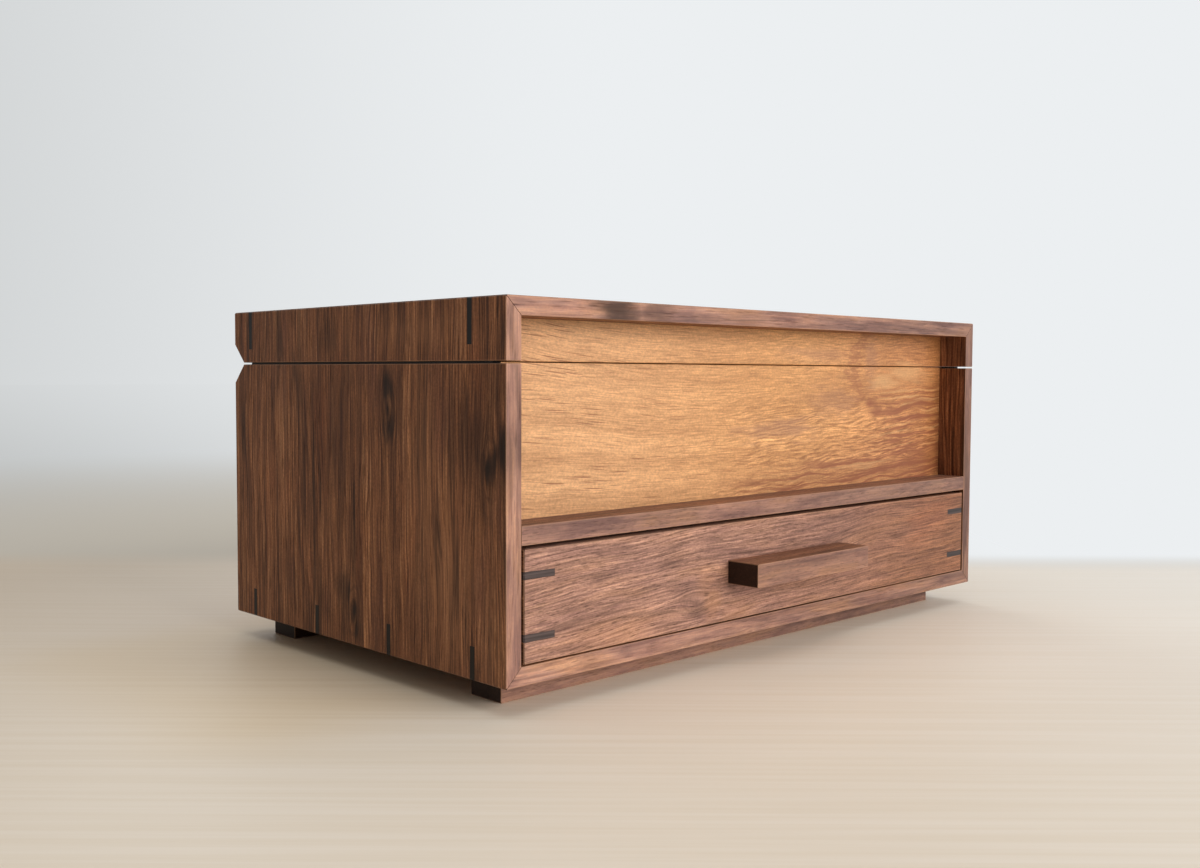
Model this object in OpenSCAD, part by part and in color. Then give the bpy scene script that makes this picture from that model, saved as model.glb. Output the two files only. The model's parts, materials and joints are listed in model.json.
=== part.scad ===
// Watch box with drawer: a mitred walnut case, a hinged lid over a lined watch tray, and a full-width drawer.
// Millimetres. +Z is up, the front faces -Y, and the origin is on the floor under the middle of the whole box.

/* [Case] */
// Width over the two sides
case_w = 360; // [300:1:440]
// Depth from the front edges to the back edges, without the handle
case_d = 218; // [180:1:270]
// Height of the lower case, from its underside to the seam
body_h = 128; // [106:0.5:160]
// Thickness of the walnut boards
board_t = 8; // [6.5:0.1:10]
// Thickness of the figured panels
panel_t = 10; // [8:0.5:12]
// Setback of the front panel behind the front edges
front_recess = 17; // [13:0.5:22]
// Depth to which boards and panels are let into their neighbours
housing_d = 3; // [2:0.5:4]
// Distance from the front edges to the start of the shelf's tongues
shelf_stop = 10; // [6:1:16]
// Height of the drawer opening
drawer_opening_h = 48; // [40:0.5:58]

/* [Lid] */
// Height of the lid, from its lower edges to its top
lid_h = 25.6; // [22:0.2:34]
// Gap between the lid and the case
seam_gap = 0.9; // [0.6:0.1:1.5]
// Gap between the two front panels, where the lower one stands up into the seam
panel_gap = 0.4; // [0.2:0.1:0.6]
// Angle to which the lid opens, where the bevels at the back meet
lid_open = 90; // [80:1:100]
// Distance from the back edges to the hinge axis, which is the depth of the bevels
bevel_d = 9.6; // [8:0.1:12]
// Gap left between the bevels when the lid is fully open
stop_gap = 0.1; // [0.05:0.05:0.5]

/* [Feet] */
// Height of the foot rails
foot_h = 12; // [8:0.5:18]
// Width of a foot rail, front to back
foot_w = 20; // [14:1:30]
// Distance from the case's sides to the ends of the rails
foot_inset = 14; // [8:1:30]
// Setback of the front rail behind the front edges
foot_front_setback = 20; // [10:1:30]
// Setback of the rear rail from the back edges
foot_rear_setback = 13; // [8:1:30]

/* [Splines] */
// Thickness of every spline
spline_t = 3; // [2:0.1:4]
// Length of a case spline along each face
case_spline_leg = 14; // [10:0.5:18]
// Number of splines along each lower edge
case_spline_count = 4; // [2:1:6]
// Distance from the front edges to the middle of the first case spline
case_spline_front = 21.4; // [14:0.2:30]
// Distance from the back edges to the middle of the last case spline
case_spline_back = 19; // [14:0.2:30]
// Length of a lid spline along each face
lid_spline_leg = 19; // [14:0.5:22]
// Distance from the front panel's face to the middle of the lid's front splines
lid_spline_front_in = 5.8; // [2:0.1:7]
// Distance from the back panel's face to the middle of the lid's rear splines
lid_spline_back_in = 4.2; // [2:0.1:7]

/* [Drawer] */
// Thickness of the drawer's walls
drawer_wall_t = 9; // [7:0.5:11]
// Gap between the drawer and the case at each side
drawer_side_gap = 1.2; // [0.6:0.1:2]
// Gap over the drawer
drawer_top_gap = 1.6; // [0.8:0.1:2.5]
// Gap under the drawer front
drawer_front_lift = 0.5; // [0.3:0.1:1]
// Running gap under the drawer's sides and back
drawer_run_gap = 0.2; // [0.1:0.1:0.5]
// Gap behind the closed drawer
drawer_rear_gap = 0.4; // [0.2:0.1:2]
// Thickness of the drawer bottom
drawer_bottom_t = 3.2; // [2:0.2:5]
// Depth of the groove that holds the drawer bottom
drawer_groove_d = 4; // [2:0.5:5]
// Height of that groove above the lower edges of the sides
drawer_groove_up = 4; // [3:0.5:6]
// Thickness of the drawer lining
drawer_lining_t = 1; // [0.6:0.1:2]
// Length of a drawer spline along each face
drawer_spline_leg = 16.5; // [10:0.5:20]
// Distance from the drawer front's upper and lower edges to the middle of its splines
drawer_spline_edge = 10.4; // [9:0.1:14]

/* [Handle] */
// Length of the handle bar
handle_l = 90; // [60:1:140]
// How far the handle stands out from the drawer front
handle_out = 17.7; // [12:0.1:26]
// Height of the handle bar
handle_h = 11; // [8:0.5:16]
// Distance between the two handle screws
handle_screw_span = 60; // [30:1:100]
// Depth of the handle screws in the bar
handle_screw_in = 12; // [6:1:15]
// Shank radius of a handle screw
handle_screw_r = 1.75; // [1.2:0.05:2.2]
// Head radius of a handle screw
handle_screw_head_r = 3.4; // [2.6:0.1:4]

/* [Hinges] */
// Length of a hinge
hinge_l = 40; // [30:1:60]
// Distance from the case's sides to the middle of each hinge
hinge_inset = 62; // [40:1:100]
// Thickness of a hinge leaf
leaf_t = 1.2; // [0.8:0.1:1.6]
// Depth to which a leaf lies on its panel's edge
leaf_in = 7; // [5:0.5:7.5]
// Radius of the knuckles
knuckle_r = 2.5; // [2.2:0.1:3.2]
// Number of knuckles in a hinge
knuckle_count = 5; // [3:2:7]
// Gap between neighbouring knuckles
knuckle_gap = 0.3; // [0.2:0.05:0.6]
// Gap between a knuckle and what it turns past
knuckle_clear = 0.3; // [0.2:0.05:0.6]
// Radius of the hinge pin
pin_r = 1.2; // [1:0.05:1.5]
// Running clearance of the pin in its knuckles
pin_fit = 0.05; // [0.02:0.01:0.1]
// Number of screws in a leaf
leaf_screw_count = 3; // [2:1:3]
// Distance between neighbouring screws in a leaf
leaf_screw_pitch = 13; // [10:0.5:14]
// Length of a hinge screw
leaf_screw_l = 11; // [8:0.5:14]
// Shank radius of a hinge screw
leaf_screw_r = 1.1; // [0.8:0.05:1.3]
// Head radius of a hinge screw
leaf_screw_head_r = 2.1; // [1.8:0.05:2.4]
// Clearance around a screw in its hole
screw_fit = 0.05; // [0.02:0.01:0.1]

/* [Tray] */
// Number of watch places side by side
place_columns = 6; // [4:1:6]
// Thickness of the tray liners
liner_t = 3; // [2:0.5:4]
// Height to which the liners stand above the seam
liner_rise = 4; // [2:0.5:6]
// Gap between the liners and the lid
lid_clear = 0.6; // [0.4:0.1:1]
// Thickness of the tray floor pad
pad_t = 3; // [2:0.5:5]
// Thickness of the dividers
divider_t = 4; // [3:0.5:6]
// Height of the dividers
divider_h = 46; // [40:1:52]
// Gap at the ends of the dividers and in their half laps
divider_fit = 0.15; // [0.1:0.05:0.3]
// Height of a watch pillow
pillow_h = 42; // [34:1:46]
// Gap between a pillow and the dividers beside it
pillow_side_gap = 1.5; // [1:0.1:3]
// Gap at the two ends of a pillow
pillow_end_gap = 1.5; // [1:0.1:3]
// Thickness of the lid lining
lid_lining_t = 3; // [2:0.5:4]
// Gap around the lid lining
lid_lining_edge = 0.5; // [0.3:0.1:1]

/* [Seat strips] */
// Distance from the front edges to the start of the strips
strip_front = 9; // [3:0.5:14]
// Distance from the hinge axis to the end of the strips
strip_back = 6; // [3:0.5:15]
// Distance from the case's outer faces to the strips
strip_in = 1; // [0.5:0.1:1.5]
// Gap between the strips and the closed lid
strip_clear = 0.05; // [0.02:0.01:0.1]

/* [Hidden] */
$fn = 48;
place_rows = 2;
half_w = case_w / 2;
in_x = half_w - board_t;
housed_x = in_x + housing_d;

// Heights, from the floor up
base_z = foot_h;
floor_z = base_z + board_t;
shelf_z = floor_z + drawer_opening_h;
tray_z = shelf_z + board_t;
pad_z = tray_z + pad_t;
seam_low_z = base_z + body_h;
seam_z = seam_low_z + seam_gap / 2;
seam_high_z = seam_low_z + seam_gap;
top_z = seam_high_z + lid_h;
lid_in_z = top_z - board_t;

// Depths, from the front to the back
front_y = -(case_d - handle_out) / 2;
back_y = front_y + case_d;
panel_y = front_y + front_recess;
panel_in_y = panel_y + panel_t;
axis_y = back_y - bevel_d;
back_out_y = axis_y - knuckle_r - knuckle_clear;
back_in_y = back_out_y - panel_t;
bevel_angle = lid_open / 2;
bevel_shift = stop_gap / 2 / cos(bevel_angle);
case_spline_pitch = (case_d - case_spline_front - case_spline_back) / (case_spline_count - 1);
lid_spline_ys = [panel_y + lid_spline_front_in, back_out_y - lid_spline_back_in];

// Drawer
drawer_half_w = in_x - drawer_side_gap;
drawer_back_y = back_in_y - drawer_rear_gap;
drawer_low_z = floor_z + drawer_run_gap;
drawer_front_low_z = floor_z + drawer_front_lift;
drawer_top_z = shelf_z - drawer_top_gap;
drawer_bottom_z = drawer_low_z + drawer_groove_up;
drawer_in_x = drawer_half_w - drawer_wall_t;
drawer_in_front_y = front_y + drawer_wall_t;
drawer_in_back_y = drawer_back_y - drawer_wall_t;
handle_z = (drawer_front_low_z + drawer_top_z) / 2;

// Tray
tray_in_x = in_x - liner_t;
tray_front_y = panel_in_y + liner_t;
tray_back_y = back_in_y - liner_t;
tray_mid_y = (tray_front_y + tray_back_y) / 2;
liner_top_z = seam_low_z + liner_rise;
liner_step_z = seam_low_z - lid_clear;
place_w = (2 * tray_in_x - (place_columns - 1) * divider_t) / place_columns;
place_d = (tray_back_y - tray_front_y - divider_t) / place_rows;
place_pitch = place_w + divider_t;
lap_z = pad_z + divider_h / 2;

// Hinges
hinge_x = half_w - hinge_inset;
knuckle_pitch = hinge_l / knuckle_count;
leaf_screw_y = back_out_y - leaf_in / 2;

walnut = "#5b3a29";
walnut_lit = "#7a5240";
figured = "#c98f4e";
ebony = "#1d1714";
brass = "#b5904a";
steel = "#9a9a9c";
suede = "#5a4636";
felt = "#151515";
birch = "#d8c09a";

CROSS_DIVIDERS = [for (i = [1:place_columns - 1]) str("divider_cross_", i)];
PILLOWS = [for (i = [1:place_columns * place_rows]) str("watch_pillow_", i)];

// A block between two corners
module block(low, high) {
    translate(low) cube(high - low);
}

// An outline in X and Z, drawn out from y0 to y1
module along_y(y0, y1) {
    translate([0, y1, 0]) rotate([90, 0, 0]) linear_extrude(y1 - y0) children();
}

// An outline in Y and Z, drawn out from x0 to x1
module along_x(x0, x1) {
    translate([x0, 0, 0]) rotate([90, 0, 90]) linear_extrude(x1 - x0) children();
}

// A round bar along X
module bar_x(x0, x1, y, z, r) {
    translate([x0, y, z]) rotate([0, 90, 0]) cylinder(h = x1 - x0, r = r);
}

// Outline of a spline across a mitre, with its corner at the origin; a long one stops at the inner faces
function spline_outline(leg, wall) =
    leg <= 2 * wall
        ? [[0, 0], [leg, 0], [0, leg]]
        : [[0, 0], [leg, 0], [leg - wall, wall], [wall, wall], [wall, leg - wall], [0, leg]];

// A countersunk screw that points down from the origin; grow widens it into its own hole
module screw_form(length, r, head_r, grow) {
    head_h = head_r - r;
    translate([0, 0, -head_h]) cylinder(h = head_h, r1 = r + grow, r2 = head_r + grow);
    translate([0, 0, -length]) cylinder(h = length - head_h, r = r + grow);
}

module screw(length, r, head_r) {
    slot_w = r / 2;
    slot_deep = r / 3;
    difference() {
        screw_form(length, r, head_r, 0);
        translate([-head_r, -slot_w / 2, -slot_deep]) cube([2 * head_r, slot_w, 2 * slot_deep]);
    }
}

// Plain boards that are let into others, before their own cuts
module shelf_board() {
    block([-in_x, front_y, shelf_z], [in_x, back_in_y, tray_z]);
    block([-housed_x, front_y + shelf_stop, shelf_z], [housed_x, back_in_y, tray_z]);
}

module front_panel_board() {
    block([-housed_x, panel_y, tray_z - housing_d], [housed_x, panel_in_y, seam_high_z - panel_gap]);
}

module back_panel_board() {
    block([-housed_x, back_in_y, floor_z - housing_d], [housed_x, back_out_y, seam_low_z]);
}

module lid_front_panel_board() {
    block([-housed_x, panel_y, seam_high_z], [housed_x, panel_in_y, lid_in_z + housing_d]);
}

module lid_back_panel_board() {
    block([-housed_x, back_in_y, seam_high_z], [housed_x, back_out_y, lid_in_z + housing_d]);
}

module case_splines() {
    for (i = [0:case_spline_count - 1]) {
        y = front_y + case_spline_front + i * case_spline_pitch;
        along_y(y - spline_t / 2, y + spline_t / 2)
            translate([-half_w, base_z]) polygon(spline_outline(case_spline_leg, board_t));
    }
}

module lid_splines() {
    for (y = lid_spline_ys)
        along_y(y - spline_t / 2, y + spline_t / 2)
            translate([-half_w, top_z]) polygon([[0, 0], [0, -lid_spline_leg], [lid_spline_leg, 0]]);
}

module both_sides() {
    children();
    mirror([1, 0, 0]) children();
}

// The wedge that the back bevel takes off a side: up is 1 on the lid and -1 on the case
module bevel_wedge(up) {
    reach = bevel_d + board_t;
    apex_z = seam_z + up * bevel_shift;
    along_x(-half_w - board_t, half_w + board_t)
        polygon([[axis_y, apex_z], [axis_y + reach, apex_z], [axis_y + reach, apex_z + up * reach * tan(bevel_angle)]]);
}

// Case
module case_side() {
    color(walnut) difference() {
        along_y(front_y, back_y)
            polygon([[-half_w, base_z], [-in_x, floor_z], [-in_x, seam_low_z], [-half_w, seam_low_z]]);
        bevel_wedge(-1);
        shelf_board();
        front_panel_board();
        back_panel_board();
        case_splines();
    }
}

module case_bottom() {
    color(walnut_lit) difference() {
        along_y(front_y, back_y)
            polygon([[-half_w, base_z], [half_w, base_z], [in_x, floor_z], [-in_x, floor_z]]);
        back_panel_board();
        both_sides() case_splines();
    }
}

module shelf() {
    color(walnut_lit) difference() {
        shelf_board();
        front_panel_board();
    }
}

module front_panel() {
    color(figured) front_panel_board();
}

module back_panel() {
    color(figured) difference() {
        back_panel_board();
        both_sides() case_splines();
        both_sides() leaf_seat(-1);
    }
}

module foot_rail(y) {
    color(walnut_lit) block([-half_w + foot_inset, y, 0], [half_w - foot_inset, y + foot_w, foot_h]);
}

module seat_strip() {
    color(felt) block(
        [-half_w + strip_in, front_y + strip_front, seam_low_z],
        [-housed_x, axis_y - strip_back, seam_high_z - strip_clear]
    );
}

// Tray
function liner_outline(inward) = [
    [0, tray_z],
    [inward * liner_t, tray_z],
    [inward * liner_t, liner_top_z],
    [inward * lid_clear, liner_top_z],
    [inward * lid_clear, liner_step_z],
    [0, liner_step_z]
];

module liner_across(y, inward) {
    end_x = in_x - lid_clear;
    color(suede) along_x(-end_x, end_x) translate([y, 0]) polygon(liner_outline(inward));
}

module liner_side() {
    color(suede) along_y(tray_front_y, tray_back_y) translate([-in_x, 0]) polygon(liner_outline(1));
}

module tray_floor_pad() {
    color(suede) block([-tray_in_x, tray_front_y, tray_z], [tray_in_x, tray_back_y, pad_z]);
}

function divider_x(i) = -tray_in_x + i * place_pitch - divider_t / 2;

module divider_long() {
    end_x = tray_in_x - divider_fit;
    lap_half_w = divider_t / 2 + divider_fit;
    color(suede) difference() {
        block([-end_x, tray_mid_y - divider_t / 2, pad_z], [end_x, tray_mid_y + divider_t / 2, pad_z + divider_h]);
        for (i = [1:place_columns - 1])
            block(
                [divider_x(i) - lap_half_w, tray_mid_y - divider_t, lap_z],
                [divider_x(i) + lap_half_w, tray_mid_y + divider_t, pad_z + 2 * divider_h]
            );
    }
}

module divider_cross(i) {
    lap_half_w = divider_t / 2 + divider_fit;
    color(suede) translate([divider_x(i), 0, 0]) difference() {
        block(
            [-divider_t / 2, tray_front_y + divider_fit, pad_z],
            [divider_t / 2, tray_back_y - divider_fit, pad_z + divider_h]
        );
        block([-divider_t, tray_mid_y - lap_half_w, pad_z - pad_t], [divider_t, tray_mid_y + lap_half_w, lap_z]);
    }
}

// Pillows are counted along the front row and then along the back row
module watch_pillow(i) {
    column = (i - 1) % place_columns;
    row = floor((i - 1) / place_columns);
    x = -tray_in_x + place_w / 2 + column * place_pitch;
    y = tray_front_y + place_d / 2 + row * (place_d + divider_t);
    w = place_w - 2 * pillow_side_gap;
    r = pillow_h / 2;
    end_y = place_d / 2 - pillow_end_gap - r;
    color(suede) along_x(x - w / 2, x + w / 2) translate([y, pad_z + r]) {
        translate([-end_y, -r]) square([2 * end_y, pillow_h]);
        for (side = [-1, 1])
            translate([side * end_y, 0]) circle(r);
    }
}

// Hinges: up is 1 for the lid's leaf and -1 for the case's leaf
module leaf_screws_at(up) {
    for (i = [0:leaf_screw_count - 1]) {
        x = -hinge_x + (i - (leaf_screw_count - 1) / 2) * leaf_screw_pitch;
        translate([x, leaf_screw_y, seam_z + up * seam_gap / 2]) rotate([up > 0 ? 180 : 0, 0, 0]) children();
    }
}

module leaf_plate(up) {
    face_z = seam_z + up * seam_gap / 2;
    under_z = face_z + up * leaf_t;
    block(
        [-hinge_x - hinge_l / 2, back_out_y - leaf_in, min(face_z, under_z)],
        [-hinge_x + hinge_l / 2, axis_y, max(face_z, under_z)]
    );
}

// What a leaf and its screws take out of the panel's edge
module leaf_seat(up) {
    leaf_plate(up);
    leaf_screws_at(up) screw_form(leaf_screw_l, leaf_screw_r, leaf_screw_head_r, screw_fit);
}

module knuckles(first, r, trim) {
    for (i = [first:2:knuckle_count - 1]) {
        x0 = -hinge_x - hinge_l / 2 + i * knuckle_pitch;
        bar_x(x0 + trim, x0 + knuckle_pitch - trim, axis_y, seam_z, r);
    }
}

module hinge_leaf(up) {
    first = up > 0 ? 1 : 0;
    color(brass) difference() {
        union() {
            leaf_plate(up);
            knuckles(first, knuckle_r, knuckle_gap / 2);
        }
        knuckles(1 - first, knuckle_r + knuckle_clear, -knuckle_gap / 2);
        bar_x(-hinge_x - hinge_l, -hinge_x + hinge_l, axis_y, seam_z, pin_r + pin_fit);
        leaf_screws_at(up) screw_form(leaf_screw_l, leaf_screw_r, leaf_screw_head_r, screw_fit);
    }
}

module hinge_pin() {
    color(brass) bar_x(-hinge_x - hinge_l / 2, -hinge_x + hinge_l / 2, axis_y, seam_z, pin_r);
}

module hinge_screws(up) {
    color(brass) both_sides() leaf_screws_at(up) screw(leaf_screw_l, leaf_screw_r, leaf_screw_head_r);
}

// Lid
module lid_top() {
    color(walnut_lit) difference() {
        along_y(front_y, back_y)
            polygon([[-half_w, top_z], [-in_x, lid_in_z], [in_x, lid_in_z], [half_w, top_z]]);
        lid_front_panel_board();
        lid_back_panel_board();
        both_sides() lid_splines();
    }
}

module lid_side() {
    color(walnut) difference() {
        along_y(front_y, back_y)
            polygon([[-half_w, seam_high_z], [-in_x, seam_high_z], [-in_x, lid_in_z], [-half_w, top_z]]);
        bevel_wedge(1);
        lid_front_panel_board();
        lid_back_panel_board();
        lid_splines();
    }
}

module lid_front_panel() {
    color(figured) difference() {
        lid_front_panel_board();
        both_sides() lid_splines();
    }
}

module lid_back_panel() {
    color(figured) difference() {
        lid_back_panel_board();
        both_sides() lid_splines();
        both_sides() leaf_seat(1);
    }
}

module lid_lining() {
    color(suede) block(
        [-in_x + lid_lining_edge, panel_in_y + lid_lining_edge, lid_in_z - lid_lining_t],
        [in_x - lid_lining_edge, back_in_y - lid_lining_edge, lid_in_z]
    );
}

// Drawer
module drawer_bottom_board() {
    block(
        [-drawer_in_x - drawer_groove_d, drawer_in_front_y - drawer_groove_d, drawer_bottom_z],
        [drawer_in_x + drawer_groove_d, drawer_in_back_y + drawer_groove_d, drawer_bottom_z + drawer_bottom_t]
    );
}

module drawer_corner_splines() {
    for (z = [drawer_front_low_z + drawer_spline_edge, drawer_top_z - drawer_spline_edge])
        translate([0, 0, z - spline_t / 2]) both_sides() {
            translate([-drawer_half_w, front_y, 0])
                linear_extrude(spline_t) polygon(spline_outline(drawer_spline_leg, drawer_wall_t));
            translate([-drawer_half_w, drawer_back_y, 0]) mirror([0, 1, 0])
                linear_extrude(spline_t) polygon(spline_outline(drawer_spline_leg, drawer_wall_t));
        }
}

module handle_screws_at() {
    for (side = [-1, 1])
        translate([side * handle_screw_span / 2, drawer_in_front_y, handle_z]) rotate([-90, 0, 0]) children();
}

module handle_screw_holes() {
    handle_screws_at()
        screw_form(drawer_wall_t + handle_screw_in, handle_screw_r, handle_screw_head_r, screw_fit);
}

// An outline in X and Y for a drawer wall, drawn up from low_z to the drawer's top
module drawer_wall(low_z, outline) {
    difference() {
        translate([0, 0, low_z]) linear_extrude(drawer_top_z - low_z) polygon(outline);
        drawer_bottom_board();
        drawer_corner_splines();
    }
}

module drawer_front() {
    color(walnut_lit) difference() {
        drawer_wall(drawer_front_low_z, [
            [-drawer_half_w, front_y],
            [drawer_half_w, front_y],
            [drawer_in_x, drawer_in_front_y],
            [-drawer_in_x, drawer_in_front_y]
        ]);
        handle_screw_holes();
    }
}

module drawer_side() {
    color(walnut) drawer_wall(drawer_low_z, [
        [-drawer_half_w, front_y],
        [-drawer_in_x, drawer_in_front_y],
        [-drawer_in_x, drawer_in_back_y],
        [-drawer_half_w, drawer_back_y]
    ]);
}

module drawer_back() {
    color(walnut) drawer_wall(drawer_low_z, [
        [-drawer_half_w, drawer_back_y],
        [drawer_half_w, drawer_back_y],
        [drawer_in_x, drawer_in_back_y],
        [-drawer_in_x, drawer_in_back_y]
    ]);
}

module drawer_bottom() {
    color(birch) drawer_bottom_board();
}

module drawer_lining() {
    lining_z = drawer_bottom_z + drawer_bottom_t;
    color(felt) block(
        [-drawer_in_x, drawer_in_front_y, lining_z],
        [drawer_in_x, drawer_in_back_y, lining_z + drawer_lining_t]
    );
}

module drawer_handle() {
    color(walnut) difference() {
        block(
            [-handle_l / 2, front_y - handle_out, handle_z - handle_h / 2],
            [handle_l / 2, front_y, handle_z + handle_h / 2]
        );
        handle_screw_holes();
    }
}

module handle_screws() {
    color(steel) handle_screws_at()
        screw(drawer_wall_t + handle_screw_in, handle_screw_r, handle_screw_head_r);
}

case_side();  // case_side_left
mirror([1, 0, 0]) case_side();  // case_side_right
case_bottom();
shelf();
front_panel();
back_panel();
color(ebony) case_splines();  // case_splines_left
color(ebony) mirror([1, 0, 0]) case_splines();  // case_splines_right
foot_rail(front_y + foot_front_setback);  // foot_rail_front
foot_rail(back_y - foot_rear_setback - foot_w);  // foot_rail_rear
seat_strip();  // seat_strip_left
mirror([1, 0, 0]) seat_strip();  // seat_strip_right
liner_across(panel_in_y, 1);  // liner_front
liner_across(back_in_y, -1);  // liner_back
liner_side();  // liner_left
mirror([1, 0, 0]) liner_side();  // liner_right
tray_floor_pad();
divider_long();
hinge_leaf(-1);  // hinge_leaf_case_left
mirror([1, 0, 0]) hinge_leaf(-1);  // hinge_leaf_case_right
hinge_pin();  // hinge_pin_left
mirror([1, 0, 0]) hinge_pin();  // hinge_pin_right
hinge_screws(-1);  // hinge_screws_case
lid_top();
lid_side();  // lid_side_left
mirror([1, 0, 0]) lid_side();  // lid_side_right
lid_front_panel();
lid_back_panel();
color(ebony) lid_splines();  // lid_splines_left
color(ebony) mirror([1, 0, 0]) lid_splines();  // lid_splines_right
lid_lining();
hinge_leaf(1);  // hinge_leaf_lid_left
mirror([1, 0, 0]) hinge_leaf(1);  // hinge_leaf_lid_right
hinge_screws(1);  // hinge_screws_lid
drawer_front();
drawer_side();  // drawer_side_left
mirror([1, 0, 0]) drawer_side();  // drawer_side_right
drawer_back();
drawer_bottom();
color(ebony) drawer_corner_splines();  // drawer_splines
drawer_lining();
drawer_handle();
handle_screws();
for (i = [1:place_columns - 1])
    divider_cross(i);
for (i = [1:place_columns * place_rows])
    watch_pillow(i);
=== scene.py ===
# %% [markdown]
# # Dressing a walnut watch box
# The construction of this box is already finished: sixty solid pieces at their real size, with the joints
# that move them. This lesson gives those pieces their looks. Each step says what a piece or a finish is on
# the real box, how it could be made in Blender, and why one way was chosen.

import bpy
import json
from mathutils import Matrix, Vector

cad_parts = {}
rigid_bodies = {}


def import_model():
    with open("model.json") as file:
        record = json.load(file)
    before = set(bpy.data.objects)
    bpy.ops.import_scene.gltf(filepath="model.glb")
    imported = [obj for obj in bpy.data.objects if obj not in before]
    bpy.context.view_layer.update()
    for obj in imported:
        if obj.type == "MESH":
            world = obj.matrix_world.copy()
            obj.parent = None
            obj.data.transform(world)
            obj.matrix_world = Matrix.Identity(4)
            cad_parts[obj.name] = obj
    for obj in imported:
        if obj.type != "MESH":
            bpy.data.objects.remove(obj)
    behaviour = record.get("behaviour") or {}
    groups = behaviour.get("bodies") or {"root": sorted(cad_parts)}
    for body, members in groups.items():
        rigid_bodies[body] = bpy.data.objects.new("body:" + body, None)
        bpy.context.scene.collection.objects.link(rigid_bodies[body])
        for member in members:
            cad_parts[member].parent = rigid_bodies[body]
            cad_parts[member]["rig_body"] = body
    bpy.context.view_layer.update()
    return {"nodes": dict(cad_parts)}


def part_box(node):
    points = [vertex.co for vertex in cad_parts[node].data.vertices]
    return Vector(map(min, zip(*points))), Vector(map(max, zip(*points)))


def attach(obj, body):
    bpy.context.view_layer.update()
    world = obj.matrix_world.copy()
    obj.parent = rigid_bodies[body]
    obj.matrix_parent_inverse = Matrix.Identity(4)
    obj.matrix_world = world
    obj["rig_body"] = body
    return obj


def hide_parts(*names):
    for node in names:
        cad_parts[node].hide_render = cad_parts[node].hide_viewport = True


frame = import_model()
nodes = frame["nodes"]

# %% [markdown]
# ## Units and small helpers
# Blender works in metres, and a box maker thinks in millimetres. One factor, MM, turns one into the other,
# so that every size below can be read with a ruler in hand. Colours are written as they look on a screen,
# from 0 to 255, and one helper turns them into the linear values that Blender's sockets expect.

# %% Imports and units
import json
import math

import bmesh
import bpy
import numpy as np
from mathutils import Matrix, Vector
from mathutils.bvhtree import BVHTree

MM = 0.001
scene = bpy.context.scene
scene.view_settings.view_transform = "Standard"


def screen(red, green, blue):
    """A colour as a screen shows it, in the linear values of a shader socket."""
    shares = (value / 255 for value in (red, green, blue))
    linear = [s / 12.92 if s <= 0.04045 else ((s + 0.055) / 1.055) ** 2.4 for s in shares]
    return (*linear, 1.0)


print("screen grey 128 is", round(screen(128, 128, 128)[0], 3), "in a socket")

# %% [markdown]
# ## The camera
# The photograph was taken from the left front corner, just under the height of the lid. The place, the turn
# and the focal length were found by matching the corners of the box in the picture to their real places. A
# camera could be aimed with a Track To constraint, but a slight roll would then be lost, so its three axes
# are written directly.

# %% Camera
PICTURE_W = 1200
FOCAL_PIXELS = 1198.8
SENSOR_W = 36.0
EYE = Vector((-477.3, -457.6, 136.2)) * MM
YAW = math.radians(44.24)
PITCH_DOWN = math.radians(2.90)
ROLL = math.radians(-0.226)

level_ahead = Vector((math.sin(YAW), math.cos(YAW), 0))
ahead = level_ahead * math.cos(PITCH_DOWN) - Vector((0, 0, math.sin(PITCH_DOWN)))
right = Vector((math.cos(YAW), -math.sin(YAW), 0))
up = right.cross(ahead)
camera = bpy.data.objects.new("camera", bpy.data.cameras.new("camera"))
scene.collection.objects.link(camera)
camera.data.sensor_width = SENSOR_W
camera.data.sensor_fit = "HORIZONTAL"
camera.data.lens = SENSOR_W * FOCAL_PIXELS / PICTURE_W
camera.data.clip_start = 10 * MM
camera_axes = Matrix((
    right * math.cos(ROLL) - up * math.sin(ROLL),
    right * math.sin(ROLL) + up * math.cos(ROLL),
    -ahead,
)).transposed()
camera.matrix_world = Matrix.Translation(EYE) @ camera_axes.to_4x4()
scene.camera = camera
print("lens", round(camera.data.lens, 2), "mm,", round(EYE.length, 3), "m from the middle of the box")

# %% [markdown]
# ## A workbench for finishes
# Every finish here is made of nodes. Adding a node by hand takes three or four lines, so a small class does
# it: each method adds a node or a few, plugs in what it is given, and hands back the output. Sizes of a
# pattern are given in millimetres, as the length, width and depth of one feature, because that is how a
# grain line is measured.


# %% The finish class
class Finish:
    """A material in the making."""

    def __init__(self, name):
        self.material = bpy.data.materials.new(name)
        self.material.use_nodes = True
        self.tree = self.material.node_tree
        self.shader = self.tree.nodes["Principled BSDF"]

    def plug(self, socket, value):
        if isinstance(value, bpy.types.NodeSocket):
            self.tree.links.new(value, socket)
        else:
            socket.default_value = value

    def node(self, kind, inputs, output=0, **settings):
        made = self.tree.nodes.new("ShaderNode" + kind)
        for key, value in settings.items():
            setattr(made, key, value)
        for key, value in inputs.items():
            self.plug(made.inputs[key], value)
        return made.outputs[output]

    def set(self, **values):
        """Values of the shader's own sockets, such as roughness=0.5 or specular_ior_level=0.3."""
        names = {socket.name.lower().replace(" ", "_"): socket for socket in self.shader.inputs}
        for key, value in values.items():
            self.plug(names[key], value)
        return self.material


print("Finish adds nodes to a material, one method at a time")


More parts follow.
